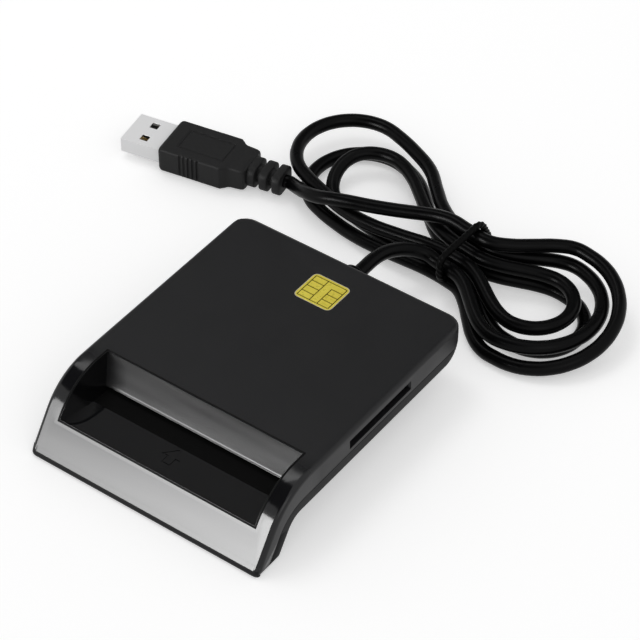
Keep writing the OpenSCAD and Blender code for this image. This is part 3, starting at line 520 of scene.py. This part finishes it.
def skin(name, rings, material, looped=False):
    """Mesh through rings of the same count, closed at both ends or joined in a loop."""
    count = len(rings[0])
    faces = []
    for i in range(len(rings) if looped else len(rings) - 1):
        a, b = i * count, (i + 1) % len(rings) * count
        faces += [(a + j, a + (j + 1) % count, b + (j + 1) % count, b + j) for j in range(count)]
    if not looped:
        last = (len(rings) - 1) * count
        faces += [tuple(range(count))[::-1], tuple(last + j for j in range(count))]
    mesh = bpy.data.meshes.new(name)
    mesh.from_pydata([p for ring in rings for p in ring], [], faces)
    mesh.materials.append(material)
    tidy = bmesh.new()
    tidy.from_mesh(mesh)
    bmesh.ops.recalc_face_normals(tidy, faces=tidy.faces)
    tidy.to_mesh(mesh)
    tidy.free()
    return put(mesh, name)


print("skin() is ready")


# %% Flat plates
def plate(outlines, low_z, high_z, shape):
    """Flat plate between an outer outline and, if there is one, an inner one."""
    levels = []
    for z in (low_z, high_z):
        levels.append([[shape.verts.new((p[0] * MM, p[1] * MM, z * MM)) for p in line]
                       for line in outlines])
    for lower, upper in zip(*levels):
        for j in range(len(lower)):
            k = (j + 1) % len(lower)
            shape.faces.new((lower[j], lower[k], upper[k], upper[j]))
    if len(outlines) == 1:
        shape.faces.new(levels[0][0])
        shape.faces.new(levels[1][0])
        return
    for outer, inner in levels:
        for j in range(len(outer)):
            k = (j + 1) % len(outer)
            shape.faces.new((outer[j], outer[k], inner[k], inner[j]))


def finish_shape(shape, name, material):
    """Turn a bmesh into a piece with its faces outward."""
    bmesh.ops.recalc_face_normals(shape, faces=shape.faces)
    mesh = bpy.data.meshes.new(name)
    shape.to_mesh(mesh)
    shape.free()
    mesh.materials.append(material)
    return put(mesh, name)


def box_outline(x0, x1, y0, y1):
    """Corners of a rectangle."""
    return [(x0, y0), (x1, y0), (x1, y1), (x0, y1)]


print("plate() is ready")

# %% [markdown]
# ## Casing
# The casing is two mouldings, screwed together from below. Their bends and round
# edges are in the frame's solids already, so they are cleaned and finished, and
# only the feet and the cord's collar get softer edges.

# %% Casing
top_cover = dress("top_cover", top_plastic, bevel=0)
bottom_cover = dress("bottom_cover", bottom_plastic, bevel=0)
dress("foot_pads", foot_rubber, bevel=0.15)
dress("cable_gland", jacket, bevel=0.25, segments=3)
print("casing pieces:", top_cover.name, bottom_cover.name)

# %% [markdown]
# ## Card mouth
# The mouth is a funnel. Its cheeks start as wide as the opening and lean in to
# the width of a card, its floor is polished like a mirror, and a shallow scoop
# behind it ends in a lip over the slot. The lining is built from the casing's
# side profile, because every surface starts on that line. Two beads edge the
# opening, and the chin ends in a round tip. The real floor mirrors the dark of
# the slot, and here a dull strip under the lip only stands for that.

# %% Side profile of the casing, in millimetres
deck_z, bend_mid, bend_low, bend_r = 18.6, -21.955, 0.7, 17.9
slope = math.radians(54.6)
face_d = 36.202
bend_end = bend_mid - bend_r * math.sin(slope)
mouth_back, mouth_floor = -17.955, 9.7
room_back, room_low, room_half = -16.86, 8.86, 31.19
open_half = 30.15
lean, slot_half = 0.325, 27.2


def skin_z(y):
    """Height of the casing's skin at a place along it."""
    if y >= bend_mid:
        return deck_z
    if y > bend_end:
        return bend_low + math.sqrt(bend_r ** 2 - (y - bend_mid) ** 2)
    return (math.sin(slope) * y + face_d) / math.cos(slope)


def slope_y(z):
    """Place of the sloping face at a height."""
    return (math.cos(slope) * z - face_d) / math.sin(slope)


def edge_line(back, low_z, steps=28):
    """Points of the skin with their normals, from a place on the deck to a height on the face."""
    line = [(back, deck_z, 0, 1)]
    for k in range(steps + 1):
        a = slope * k / steps
        line.append((bend_mid - bend_r * math.sin(a), bend_low + bend_r * math.cos(a),
                     -math.sin(a), math.cos(a)))
    line.append((slope_y(low_z), low_z, -math.sin(slope), math.cos(slope)))
    return line


print("front edge of the mouth at y =", round(slope_y(mouth_floor), 2))


# %% Frame round the opening, flush with the casing
def across(name, outline, half, material):
    """Bar along x with an outline in y and z."""
    return skin(name, [[(x * MM, y * MM, z * MM) for y, z in outline] for x in (-half, half)],
                material)


frame_deep, edge_wall = 0.6, 0.2
floor_front, room_front = slope_y(mouth_floor), slope_y(room_low)
bar_outlines = {
    "mouth_frame_back": [(mouth_back, deck_z), (room_back, deck_z),
                         (room_back, deck_z - frame_deep), (mouth_back, deck_z - frame_deep)],
    "mouth_frame_front": [(floor_front, mouth_floor), (floor_front + edge_wall, mouth_floor),
                          (room_front + edge_wall, room_low), (room_front, room_low)],
}
mouth_bars = [across(name, outline, open_half, top_plastic)
              for name, outline in bar_outlines.items()]
for side, name in ((-1, "mouth_frame_left"), (1, "mouth_frame_right")):
    rings = []
    for y, z, ny, nz in edge_line(room_back, room_low):
        low_y, low = y - frame_deep * ny, z - frame_deep * nz
        corners = ((open_half, y, z), (room_half, y, z),
                   (room_half, low_y, low), (open_half, low_y, low))
        rings.append([(side * x * MM, a * MM, b * MM) for x, a, b in corners])
    mouth_bars.append(skin(name, rings, top_plastic))
for piece in mouth_bars:
    smooth(piece.data, 35)
print("frame bars:", len(mouth_bars))

# %% Rounded tip of the chin, a little fuller than the cover's own
tip_r, tip_z, tip_turn, tip_steps = 1.62, 0.93, 33, 16
tip_back, tip_foot, tip_top = -42.0, 0.02, 1.5
edge_low, edge_high, edge_back, proud = 1.9, 3, -42.2, 0.02
tip_y = (math.cos(slope) * tip_z + tip_r - face_d) / math.sin(slope)
rise_top, rise_low = math.radians(tip_turn), math.asin((tip_foot - tip_z) / tip_r)
edge_profile = [(slope_y(edge_high) - proud, edge_high), (slope_y(edge_low) - proud, edge_low),
                (edge_back, edge_low), (tip_back, edge_high)]
tip_profile = []
for k in range(tip_steps + 1):
    rise = rise_top + (rise_low - rise_top) * k / tip_steps
    tip_profile.append((tip_y - tip_r * math.cos(rise), tip_z + tip_r * math.sin(rise)))
tip_profile += [(tip_back, tip_foot), (tip_back, tip_top)]
# places along the tip, with how far the rounded corners draw back
stations = [(0, 0), (33.0, 0), (33.3, 0), (33.8, 0.05), (34.2, 0.18), (34.5, 0.36), (34.75, 0.7)]
stations = [(-x, back) for x, back in reversed(stations[1:])] + stations
deepest = -41.9
for name, profile, finish in (("chin_edge", edge_profile, top_plastic),
                              ("chin_tip", tip_profile, bottom_plastic)):
    rings = [[Vector((x, min(y + back, deepest), z)) * MM for y, z in profile]
             for x, back in stations]
    mouth_bars.append(skin(name, rings, finish))
    smooth(mouth_bars[-1].data, 35)
print("chin tip at y =", round(tip_y - tip_r, 2))

# %% Cheeks
cheek_rows, cheek_lines = 60, 14
cheek_start, cheek_under, cheek_top, cheek_wall = 0.1, 0.3, 0.03, 0.6
cheeks = []
for side, name in ((-1, "mouth_cheek_left"), (1, "mouth_cheek_right")):
    rings = []
    front = floor_front + cheek_start
    for i in range(cheek_rows + 1):
        y = front + (room_back - front) * i / cheek_rows
        top_z = skin_z(y) - cheek_top
        low_z = mouth_floor - cheek_under
        ring = []
        for j in range(cheek_lines + 1):
            z = low_z + (top_z - low_z) * j / cheek_lines
            ring.append((max(slot_half, open_half - lean * (top_z - z)), z))
        ring += [(open_half + cheek_wall, z) for z in (top_z, low_z)]
        rings.append([(side * x * MM, y * MM, z * MM) for x, z in ring])
    cheeks.append(skin(name, rings, mouth_plastic))
    smooth(cheeks[-1].data, 40)
print("cheek points:", len(cheeks[0].data.vertices))

# %% Scoop, lip and the roof of the slot
# runs along the surface: length in millimetres, turn at both ends in degrees, steps
scoop_runs = [(8.0, 27.3, 29.2, 24), (0.5, 29.2, 54.0, 6), (0.74, 54.0, -90.0, 14)]
y, z = mouth_back, deck_z
outline = [(y, z)]
for run, rise_0, rise_1, steps in scoop_runs:
    for k in range(steps):
        a = math.radians(rise_0 + (rise_1 - rise_0) * (k + 0.5) / steps)
        y -= math.sin(a) * run / steps
        z -= math.cos(a) * run / steps
        outline.append((y, z))
lip_low, tuck = z, 0.3
outline += [(room_back, lip_low), (room_back, deck_z - frame_deep),
            (mouth_back + tuck, deck_z - tuck)]
scoop = across("mouth_scoop", outline, open_half + tuck, scoop_plastic)
smooth(scoop.data, 40)
print("slot is", round(lip_low - mouth_floor, 2), "mm high")

# %% Floor with its engraved arrow
base_low = room_low + 0.01
outline = [(room_back, mouth_floor), (floor_front + edge_wall, mouth_floor),
           (room_front + edge_wall, base_low), (room_back, base_low)]
mouth_base = across("mouth_floor", outline, open_half, floor_gloss)
arrow = [(0, -28.1), (2.7, -31.0), (1.15, -31.0), (1.15, -33.4),
         (-1.15, -33.4), (-1.15, -31.0), (-2.7, -31.0)]
arrow_line, arrow_deep = 0.36, 0.22


def offset(points, out):
    """Closed outline moved outward, with its corners kept sharp."""
    moved = []
    for k, spot in enumerate(points):
        a = (Vector(spot) - Vector(points[k - 1])).normalized()
        b = (Vector(points[(k + 1) % len(points)]) - Vector(spot)).normalized()
        side = Vector((-a.y - b.y, a.x + b.x)).normalized()
        moved.append(tuple(Vector(spot) + side * (out / side.dot(Vector((-a.y, a.x))))))
    return moved


shape = bmesh.new()
plate([offset(arrow, arrow_line / 2), offset(arrow, -arrow_line / 2)],
      mouth_floor - arrow_deep, mouth_floor + 1, shape)
cutter = finish_shape(shape, "arrow_groove", floor_gloss)
engrave = mouth_base.modifiers.new("engrave", "BOOLEAN")
engrave.operation, engrave.solver, engrave.object = "DIFFERENCE", "EXACT", cutter
apply_all(mouth_base)
bpy.data.objects.remove(cutter)
print("floor faces:", len(mouth_base.data.polygons))

# %% Dull black strip under the lip, a painted dark reflection
# painted reflection: a dull black strip laid on the floor where the real floor mirrors the dark
# slot
painted_reflection_front, painted_reflection_tuck = -27.3, 0.4
painted_reflection_top, painted_reflection_low = mouth_floor + 0.05, mouth_floor - 0.1
painted_reflection_strip = across("mouth_painted_reflection", [(room_back, painted_reflection_top), (painted_reflection_front, painted_reflection_top),
                               (painted_reflection_front, painted_reflection_low), (room_back, painted_reflection_low)],
               slot_half + painted_reflection_tuck, painted_reflection_black)
print("dull strip reaches from y =", room_back, "to", painted_reflection_front)

# %% [markdown]
# A dull bead and a thin glossy one run round the mouth. Each corner's ring is
# set at half the turn and stretched, as a picture framer cuts a mitre.

# %% Beads round the opening
side_line = edge_line(mouth_back, mouth_floor)
loop = [(-open_half, y, z, ny, nz) for y, z, ny, nz in side_line]
loop += [(open_half, y, z, ny, nz) for y, z, ny, nz in reversed(side_line)]


def bead_round(name, radius, inward, down, material, sides=16):
    """Mitred bead along the opening, moved toward its middle and into the casing."""
    rings = []
    for k, (x, y, z, ny, nz) in enumerate(loop):
        here = Vector((x, y, z))
        before, after = Vector(loop[k - 1][:3]), Vector(loop[(k + 1) % len(loop)][:3])
        normal = Vector((0, ny, nz))
        side_in = normal.cross((here - before).normalized())
        side_out = normal.cross((after - here).normalized())
        miter = (side_in + side_out).normalized()
        miter *= 1 / max(miter.dot(side_in.normalized()), 0.5)
        middle = here + miter * inward - normal * down
        rings.append([(middle + (miter * math.cos(a) + normal * math.sin(a)) * radius) * MM
                      for a in (2 * math.pi * j / sides for j in range(sides))])
    made = skin(name, rings, material, looped=True)
    smooth(made.data, 50)
    return made


beads = [bead_round("mouth_bead_dull", 0.25, 0.02, 0.06, bead_black),
         bead_round("mouth_bead_gloss", 0.11, 0.30, 0.10, mouth_plastic, 10)]
mouth_pieces = [scoop, mouth_base, painted_reflection_strip] + beads + cheeks + mouth_bars
for piece in mouth_pieces:
    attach(piece, "casing")
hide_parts("mouth_insert")
print("mouth pieces:", len(mouth_pieces))

# %% [markdown]
# ## Emblem
# The emblem is a picture of a card's contacts, struck in gold foil: a frame with
# a pale edge, and pads parted by fine dark lines. Frame and pads stand a fifth
# of a millimetre above a dark base, so the lines are real gaps.

# %% Sizes of the emblem, in millimetres
emblem_mid = Vector((0, 30.2, 18.1))
emblem_w, emblem_l, emblem_round = 11.3, 10.1, 1.45
frame_in, line_w, rim_w = 0.72, 0.3, 0.22
pad_top = 18.55
foil_low, rim_top = pad_top - 0.25, pad_top - 0.04
columns = (0, 0.40, 0.64, 1)
rows = (0, 0.25, 0.5, 0.75, 1)
left_pads, right_pads = 4, 3
field_w, field_l = emblem_w - 2 * frame_in, emblem_l - 2 * frame_in


def emblem_edge(less, count=96):
    """Outline of the emblem, drawn in by less."""
    line = rounded_outline(emblem_w - 2 * less, emblem_l - 2 * less, emblem_round - less, count)
    return [(emblem_mid.x + p.x, emblem_mid.y + p.y) for p, out in line]


def to_box(points, half_w, half_l):
    """Points moved out from the middle on to a rectangle."""
    moved = []
    for x, y in points:
        dx, dy = x - emblem_mid.x, y - emblem_mid.y
        grow = 1 / max(abs(dx) / half_w, abs(dy) / half_l)
        moved.append((emblem_mid.x + dx * grow, emblem_mid.y + dy * grow))
    return moved


print("emblem is", emblem_w, "x", emblem_l, "mm")

# %% Frame and pads of the emblem
shape = bmesh.new()
outer = emblem_edge(rim_w)
plate([outer, to_box(outer, field_w / 2, field_l / 2)], foil_low, pad_top, shape)
xs = [emblem_mid.x - field_w / 2 + field_w * share for share in columns]
ys = [emblem_mid.y - field_l / 2 + field_l * share for share in rows]
gap = line_w / 2
foil = (foil_low, pad_top)
for k in range(left_pads):
    plate([box_outline(xs[0] + line_w, xs[1] - gap, ys[k] + (gap if k else line_w),
                       ys[k + 1] - (gap if k < left_pads - 1 else line_w))], *foil, shape)
for k in range(right_pads):
    plate([box_outline(xs[2] + gap, xs[3] - line_w, ys[k] + (gap if k else line_w),
                       ys[k + 1] - gap)], *foil, shape)
plate([[(xs[1] + gap, ys[0] + line_w), (xs[2] - gap, ys[0] + line_w), (xs[2] - gap, ys[3] + gap),
        (xs[3] - line_w, ys[3] + gap), (xs[3] - line_w, ys[4] - line_w),
        (xs[1] + gap, ys[4] - line_w)]], *foil, shape)
emblem_pads = finish_shape(shape, "emblem_foil", gold)
print("foil faces:", len(emblem_pads.data.polygons))

# %% Pale rim and dark base of the emblem
shape = bmesh.new()
plate([emblem_edge(0), emblem_edge(rim_w)], foil_low, rim_top, shape)
emblem_rim = finish_shape(shape, "emblem_pale_rim", pale_gold)
dress("chip_emblem_plate", recess_black, bevel=0)
for piece in (emblem_pads, emblem_rim):
    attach(piece, "casing")
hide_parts("chip_emblem_pads")
print("rim faces:", len(emblem_rim.data.polygons))

# %% [markdown]
# ## Plug
# The grip is one soft moulding: a flat block that narrows in a short hollow
# curve to a neck, with finger grooves in its narrow sides and an outlined panel
# on top. A lathe can't make it and a boolean leaves hard edges, so it is a
# stack of rounded outlines, close enough together that grooves and panel can be
# pressed in by moving points inward.


# %% Sizes of the plug, in millimetres along it from the cord
plug_at = Vector((-44, 73.4, 4))
plug_turn = math.radians(190)
grip_from, grip_to = 10, 35.4
grip_w, grip_h, grip_r = 14.6, 7.8, 1.0
grip_shares = [(0, 0.69, 0.78), (0.012, 0.74, 0.86), (0.04, 0.76, 0.90), (0.09, 0.77, 0.92),
               (0.16, 0.78, 0.94), (0.19, 0.81, 0.96), (0.22, 0.90, 0.98), (0.26, 1, 1),
               (0.965, 1, 1), (0.985, 0.985, 0.97), (1, 0.94, 0.90)]
groove_middle, groove_pitch, grooves = 26, 1.33, 5
groove_deep, groove_half, groove_soft = 0.45, 0.32, 0.24
side_least, side_from, side_soft = 0.5, 0.75, 0.4
panel_span, panel_half = (16.6, 31.2), 4.3
top_least, panel_deep, panel_rise, panel_soft = 0.9, 0.35, 0.25, 0.2
line_from, line_to = 0.05, 0.6
grip_rows, grip_sides = 150, 168


def in_plug(x, y, z):
    """Place on the plug, in metres in the frame."""
    spot = Matrix.Rotation(plug_turn, 3, "Z") @ Vector((x, y, z)) + plug_at
    return spot * MM


def share_sizes(share):
    """Width and height of the grip at a share of its length."""
    for (a, wa, ha), (b, wb, hb) in zip(grip_shares, grip_shares[1:]):
        if share <= b:
            t = (share - a) / (b - a)
            return wa + (wb - wa) * t, ha + (hb - ha) * t
    return grip_shares[-1][1:]


print("grip's neck is", round(grip_w * share_sizes(0)[0], 1), "mm wide")


# %% Finger grooves and panel
def step(value, edge, soft):
    """0 below the edge and 1 above it, with a soft change."""
    t = min(max((value - edge) / soft + 0.5, 0), 1)
    return t * t * (3 - 2 * t)


def pressed(x, y, out):
    """How deep a point of the grip is pressed in, by grooves and by the panel."""
    deep = 0
    if abs(out[0]) > side_least:
        near = min(abs(x - groove_middle - (k - (grooves - 1) / 2) * groove_pitch)
                   for k in range(grooves))
        deep += (groove_deep * (1 - step(near, groove_half, groove_soft))
                 * step(abs(out[0]), side_from, side_soft))
    if out[1] > top_least:
        inside = min(x - panel_span[0], panel_span[1] - x, panel_half - abs(y))
        deep += (panel_deep * step(inside, line_from, panel_soft)
                 - panel_rise * step(inside, line_to, panel_soft))
    return deep


print("grooves:", grooves)

# %% Skin of the grip
rings = []
for k in range(grip_rows + 1):
    x = grip_from + (grip_to - grip_from) * k / grip_rows
    wide, tall = share_sizes((x - grip_from) / (grip_to - grip_from))
    ring = []
    for spot, out in rounded_outline(grip_w * wide, grip_h * tall, grip_r, grip_sides):
        deep = pressed(x, spot.x, out)
        ring.append(in_plug(x, spot.x - out.x * deep, spot.y - out.y * deep))
    rings.append(ring)
plug_grip = skin("plug_grip", rings, grip_rubber)
smooth(plug_grip.data, 40)
print("grip points:", len(plug_grip.data.vertices))

# %% [markdown]
# ## Strain relief
# The strain relief has to bend with the cord, so it is cut into three collars
# on a thin core. Core and collars are merged, so that nothing hides inside.

# %% Strain relief
collars = [(0.0, 2.3), (3.8, 6.2), (7.6, 10.0)]
collar_w, collar_h, collar_r = 8.4, 6.6, 2.4
core_from, core_to, core_d, core_r = 0.6, 10.6, 5.2, 2.59
end_soft, end_share, bar_sides = 0.3, 0.3, 64


def bar(name, x0, x1, width, height, radius):
    """Rounded bar along the plug with softened ends."""
    rows = []
    for x, less in ((x0, end_soft), (x0 + end_share * end_soft, end_share * end_soft),
                    (x0 + end_soft, 0), (x1 - end_soft, 0),
                    (x1 - end_share * end_soft, end_share * end_soft), (x1, end_soft)):
        outline = rounded_outline(width - 2 * less, height - 2 * less, radius - less, bar_sides)
        rows.append([in_plug(x, spot.x, spot.y) for spot, out in outline])
    return skin(name, rows, grip_rubber)


def merge(name, parts):
    """Union of closed pieces as one mesh."""
    first = parts[0]
    for other in parts[1:]:
        joint = first.modifiers.new("union", "BOOLEAN")
        joint.operation = "UNION"
        joint.solver = "EXACT"
        joint.object = other
        apply_all(first)
    for other in parts[1:]:
        bpy.data.objects.remove(other)
    first.name = name
    return first


parts = [bar("relief_core", core_from, core_to, core_d, core_d, core_r)]
parts += [bar("relief_collar", a, b, collar_w, collar_h, collar_r) for a, b in collars]
plug_relief = merge("plug_relief", parts)
smooth(plug_relief.data, 35)
print("relief points:", len(plug_relief.data.vertices))

# %% Carried pieces of the plug
for piece, source in ((plug_grip, "plug_overmould"), (plug_relief, "plug_strain_relief")):
    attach(piece, "casing")
    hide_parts(source)
plug_shell = dress("plug_shell", nickel, bevel=0.12)
dress("plug_tongue", dark_nylon, bevel=0.08)
dress("plug_contacts", spring_gold, bevel=0)
print("plug pieces are dressed")

# %% [markdown]
# ## Tie
# The band is a soft wire, bent round the strands and twisted with itself. Its
# run is the outline of a set of circles, one for each outer strand, and its
# section is a circle with ridges that turn as they go.

# %% Line of the band round the strands
tie_clear, tie_r, ridge_up, ridges, tie_turns = 0.2, 0.92, 0.09, 3, 34
tied = [(front_2, low), (back_1, low), (front_2, mid), (back_2, mid), (out_slot, top)]
tie_steps, tie_sides, line_steps = 220, 18, 720


def around_strands(angle):
    """Point of the band's middle in a direction round the strands."""
    out = Vector((math.cos(angle), math.sin(angle)))
    far = max((Vector((v, z + waist_lift)) for v, z in tied), key=lambda s: s.dot(out))
    return far + out * (cord_d / 2 + tie_clear + tie_r)


line = [around_strands(2 * math.pi * k / line_steps) for k in range(line_steps)]
runs = [0]
for a, b in zip(line, line[1:] + line[:1]):
    runs.append(runs[-1] + (b - a).length)
path_points = []
k = 0
for i in range(tie_steps):
    want = runs[-1] * i / tie_steps
    while runs[k + 1] < want:
        k += 1
    t = (want - runs[k]) / (runs[k + 1] - runs[k])
    path_points.append(line[k].lerp(line[(k + 1) % line_steps], t))
print("tie is", round(runs[-1], 1), "mm round")

# %% Twisted skin of the band
rings = []
for i, spot in enumerate(path_points):
    ahead = (path_points[(i + 1) % tie_steps] - path_points[i - 1]).normalized()
    out = Vector((ahead.y, -ahead.x))
    ring = []
    for j in range(tie_sides):
        a = 2 * math.pi * j / tie_sides
        r = tie_r + ridge_up * math.cos(ridges * a - 2 * math.pi * tie_turns * i / tie_steps)
        place = spot + out * (r * math.cos(a))
        ring.append(at_waist(r * math.sin(a), place.x, place.y) * MM)
    rings.append(ring)
tie = skin("cord_tie_band", rings, tie_rubber, looped=True)
smooth(tie.data, 60)
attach(tie, "casing")
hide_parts("cord_tie")
print("tie points:", len(tie.data.vertices))

# %% [markdown]
# ## Inside
# Whoever looks into the slots or the plug's windows meets real parts. Their
# shapes in the frame are right, so each is only softened and finished. The
# contact rows and the plunger ride their own bodies, because they move.

# %% Dress the inner pieces
inside = {
    "main_board": (mask_green, "circuit_board", 0),
    "card_connector_frame": (cream, "pale_plastic", 0.08),
    "card_switch_housing": (dark_nylon, "dark_plastic", 0.08),
    "sd_socket_base": (dark_nylon, "dark_plastic", 0.06),
    "sd_socket_shell": (tinned, "tinned_sheet", 0.05),
    "sd_contact_springs": (spring_gold, "spring_contacts", 0),
    "controller_chip": (chip_black, "dark_plastic", 0.1),
    "controller_leads": (tinned, "tinned_sheet", 0),
    "crystal_can": (tinned, "tinned_sheet", 0.3),
    "small_parts": (ceramic, "small_parts", 0.05),
    "cable_header": (cream, "pale_plastic", 0.15),
    "cable_leads": (wire_red, "lead_wire", 0),
    "cover_screws": (zinc, "screw_steel", 0.15),
}
for source, (material, slot, bevel) in inside.items():
    dress(source, material, bevel=bevel)
dress("contact_row_front", spring_gold, "front_contacts", bevel=0.03)
dress("contact_row_rear", spring_gold, "rear_contacts", bevel=0.03)
dress("card_switch_plunger", cream, "card_switch", bevel=0.1)
print("inside pieces:", len(inside) + 3)

# %% [markdown]
# ## Facts of the cord
# The curve drawn above gets the jacket finish and rides the casing, in place
# of the frame's cord nodes.

cord.data.materials.append(jacket)
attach(cord, "casing")
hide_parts("cord_lead", "cord_hank", "cord_plug_lead")
print("cord leaves at", [round(c, 4) for c in route[0]])

# %% [markdown]
# ## Studio
# Black plastic shows what it mirrors. A low card in front fills the chin with
# light, a soft box above draws the band on the bend, and two flags keep the deck
# dark. The floor and the background are plain white, also for mirrors.


# %% Floor
def seen(owner):
    """1 where the camera, a mirror or glass looks, and 0 for light on the reader."""
    path = node(owner, "ShaderNodeLightPath")
    sees = path.outputs["Is Camera Ray"]
    for name in ("Is Glossy Ray", "Is Transmission Ray"):
        sees = combine(owner, "MAXIMUM", sees, path.outputs[name])
    return sees


def glow_with(material, source):
    """Let a material glow white, as strongly as the source says."""
    shader_of(material).inputs["Emission Color"].default_value = (1, 1, 1, 1)
    join(material, source, shader_of(material).inputs["Emission Strength"])


def sheet(name, x0, x1, low, high, material, upright=False):
    """Flat rectangle, lying or standing."""
    corners = [(x0, low), (x1, low), (x1, high), (x0, high)]
    mesh = bpy.data.meshes.new(name)
    mesh.from_pydata([(x, 0, b) if upright else (x, b, 0) for x, b in corners], [], [(0, 1, 2, 3)])
    mesh.materials.append(material)
    return put(mesh, name)


floor_size, floor_grey, floor_glow = 6, 0.86, 0.4
floor_white = finish_of("floor_white", (floor_grey, floor_grey, floor_grey), 0.9, 0.0)
glow_with(floor_white, combine(floor_white, "MULTIPLY", seen(floor_white), floor_glow))
floor_half = floor_size / 2
floor = sheet("floor", -floor_half, floor_half, -floor_half, floor_half, floor_white)
print("floor is", floor_size, "m wide")

# %% Background
world_lit, world_seen = 0.55, 1.0
world = bpy.data.worlds.new("studio")
bpy.context.scene.world = world
world.use_nodes = True
background = world.node_tree.nodes["Background"]
background.inputs["Color"].default_value = (1, 1, 1, 1)
join(world, spread(world, seen(world), world_lit, world_seen, 0, 1), background.inputs["Strength"])
print("background:", world_lit, "as light,", world_seen, "as seen")


# %% Lamps
def stand(piece, towards, distance):
    """Put a lamp or card in a direction from the reader, facing it."""
    piece.location = Vector(towards).normalized() * distance
    piece.rotation_euler = Vector(towards).to_track_quat("Z", "Y").to_euler()


def panel(name, towards, distance, size, radiance, mirrored=True):
    """Square soft box of a given brightness."""
    lamp = bpy.data.lights.new(name, "AREA")
    lamp.shape = "RECTANGLE"
    lamp.size = lamp.size_y = size
    lamp.energy = radiance * math.pi * size ** 2
    light = bpy.data.objects.new(name, lamp)
    stand(light, towards, distance)
    light.visible_camera = False
    light.visible_glossy = mirrored
    bpy.context.collection.objects.link(light)


panel("band_box", (-0.5, 0.25, 1.0), distance=1.0, size=0.34, radiance=2.6)
panel("key_box", (-0.5, 0.25, 1.0), distance=1.0, size=0.5, radiance=0.4, mirrored=False)
panel("fill_box", (0.8, -0.5, 0.8), distance=1.2, size=0.6, radiance=0.9)
print("lamps:", len(bpy.data.lights))


# %% Graded card in front
def for_mirrors(card):
    """Let only mirrors see a card."""
    card.visible_camera = card.visible_diffuse = card.visible_shadow = False


def graded_light(name, dim, bright, half_run):
    """Glow that grows along x and drifts a little, like a lit sheet of paper."""
    material = finish_of(name, (0, 0, 0), 1.0, 0.0)
    glow = spread(material, object_axis(material, "X"), dim, bright, -half_run, half_run)
    drift = spread(material, noise(material, drift_size, detail=2.0),
                   1 - drift_share, 1 + drift_share)
    glow_with(material, combine(material, "MULTIPLY", glow, drift))
    return material


card_away, card_half, card_low, card_high = 0.8, 0.21, 0.163, 0.45
card_dim, card_bright, grade_half = 12.0, 26.5, 0.10
drift_size, drift_share = 0.03, 0.08
card_ahead = Vector((-0.455, -0.89, 0)).normalized()
paper = graded_light("front_card_glow", card_dim, card_bright, grade_half)
front_card = sheet("front_card", -card_half, card_half, card_low, card_high, paper, upright=True)
front_card.location = card_ahead * card_away
front_card.rotation_euler = (0, 0, math.atan2(card_ahead.x, -card_ahead.y))
for_mirrors(front_card)
print("card is", round(2 * card_half, 2), "m wide")


# %% Flags
def flag(name, towards, distance, width, height, grey):
    """Dark card that only mirrors see."""
    cloth = finish_of(name + "_cloth", (grey, grey, grey), 1.0, 0.0)
    card = sheet(name, -width / 2, width / 2, -height / 2, height / 2, cloth)
    stand(card, towards, distance)
    for_mirrors(card)


flag("rear_flag", (-0.44, 0.75, 0.70), distance=1.3, width=2.0, height=1.3, grey=0.38)
flag("top_flag", (-0.30, -0.38, 0.9), distance=1.3, width=1.6, height=0.75, grey=0.0)
bpy.context.scene.view_settings.view_transform = "Standard"
print("pieces of mesh:", len(bpy.data.meshes))
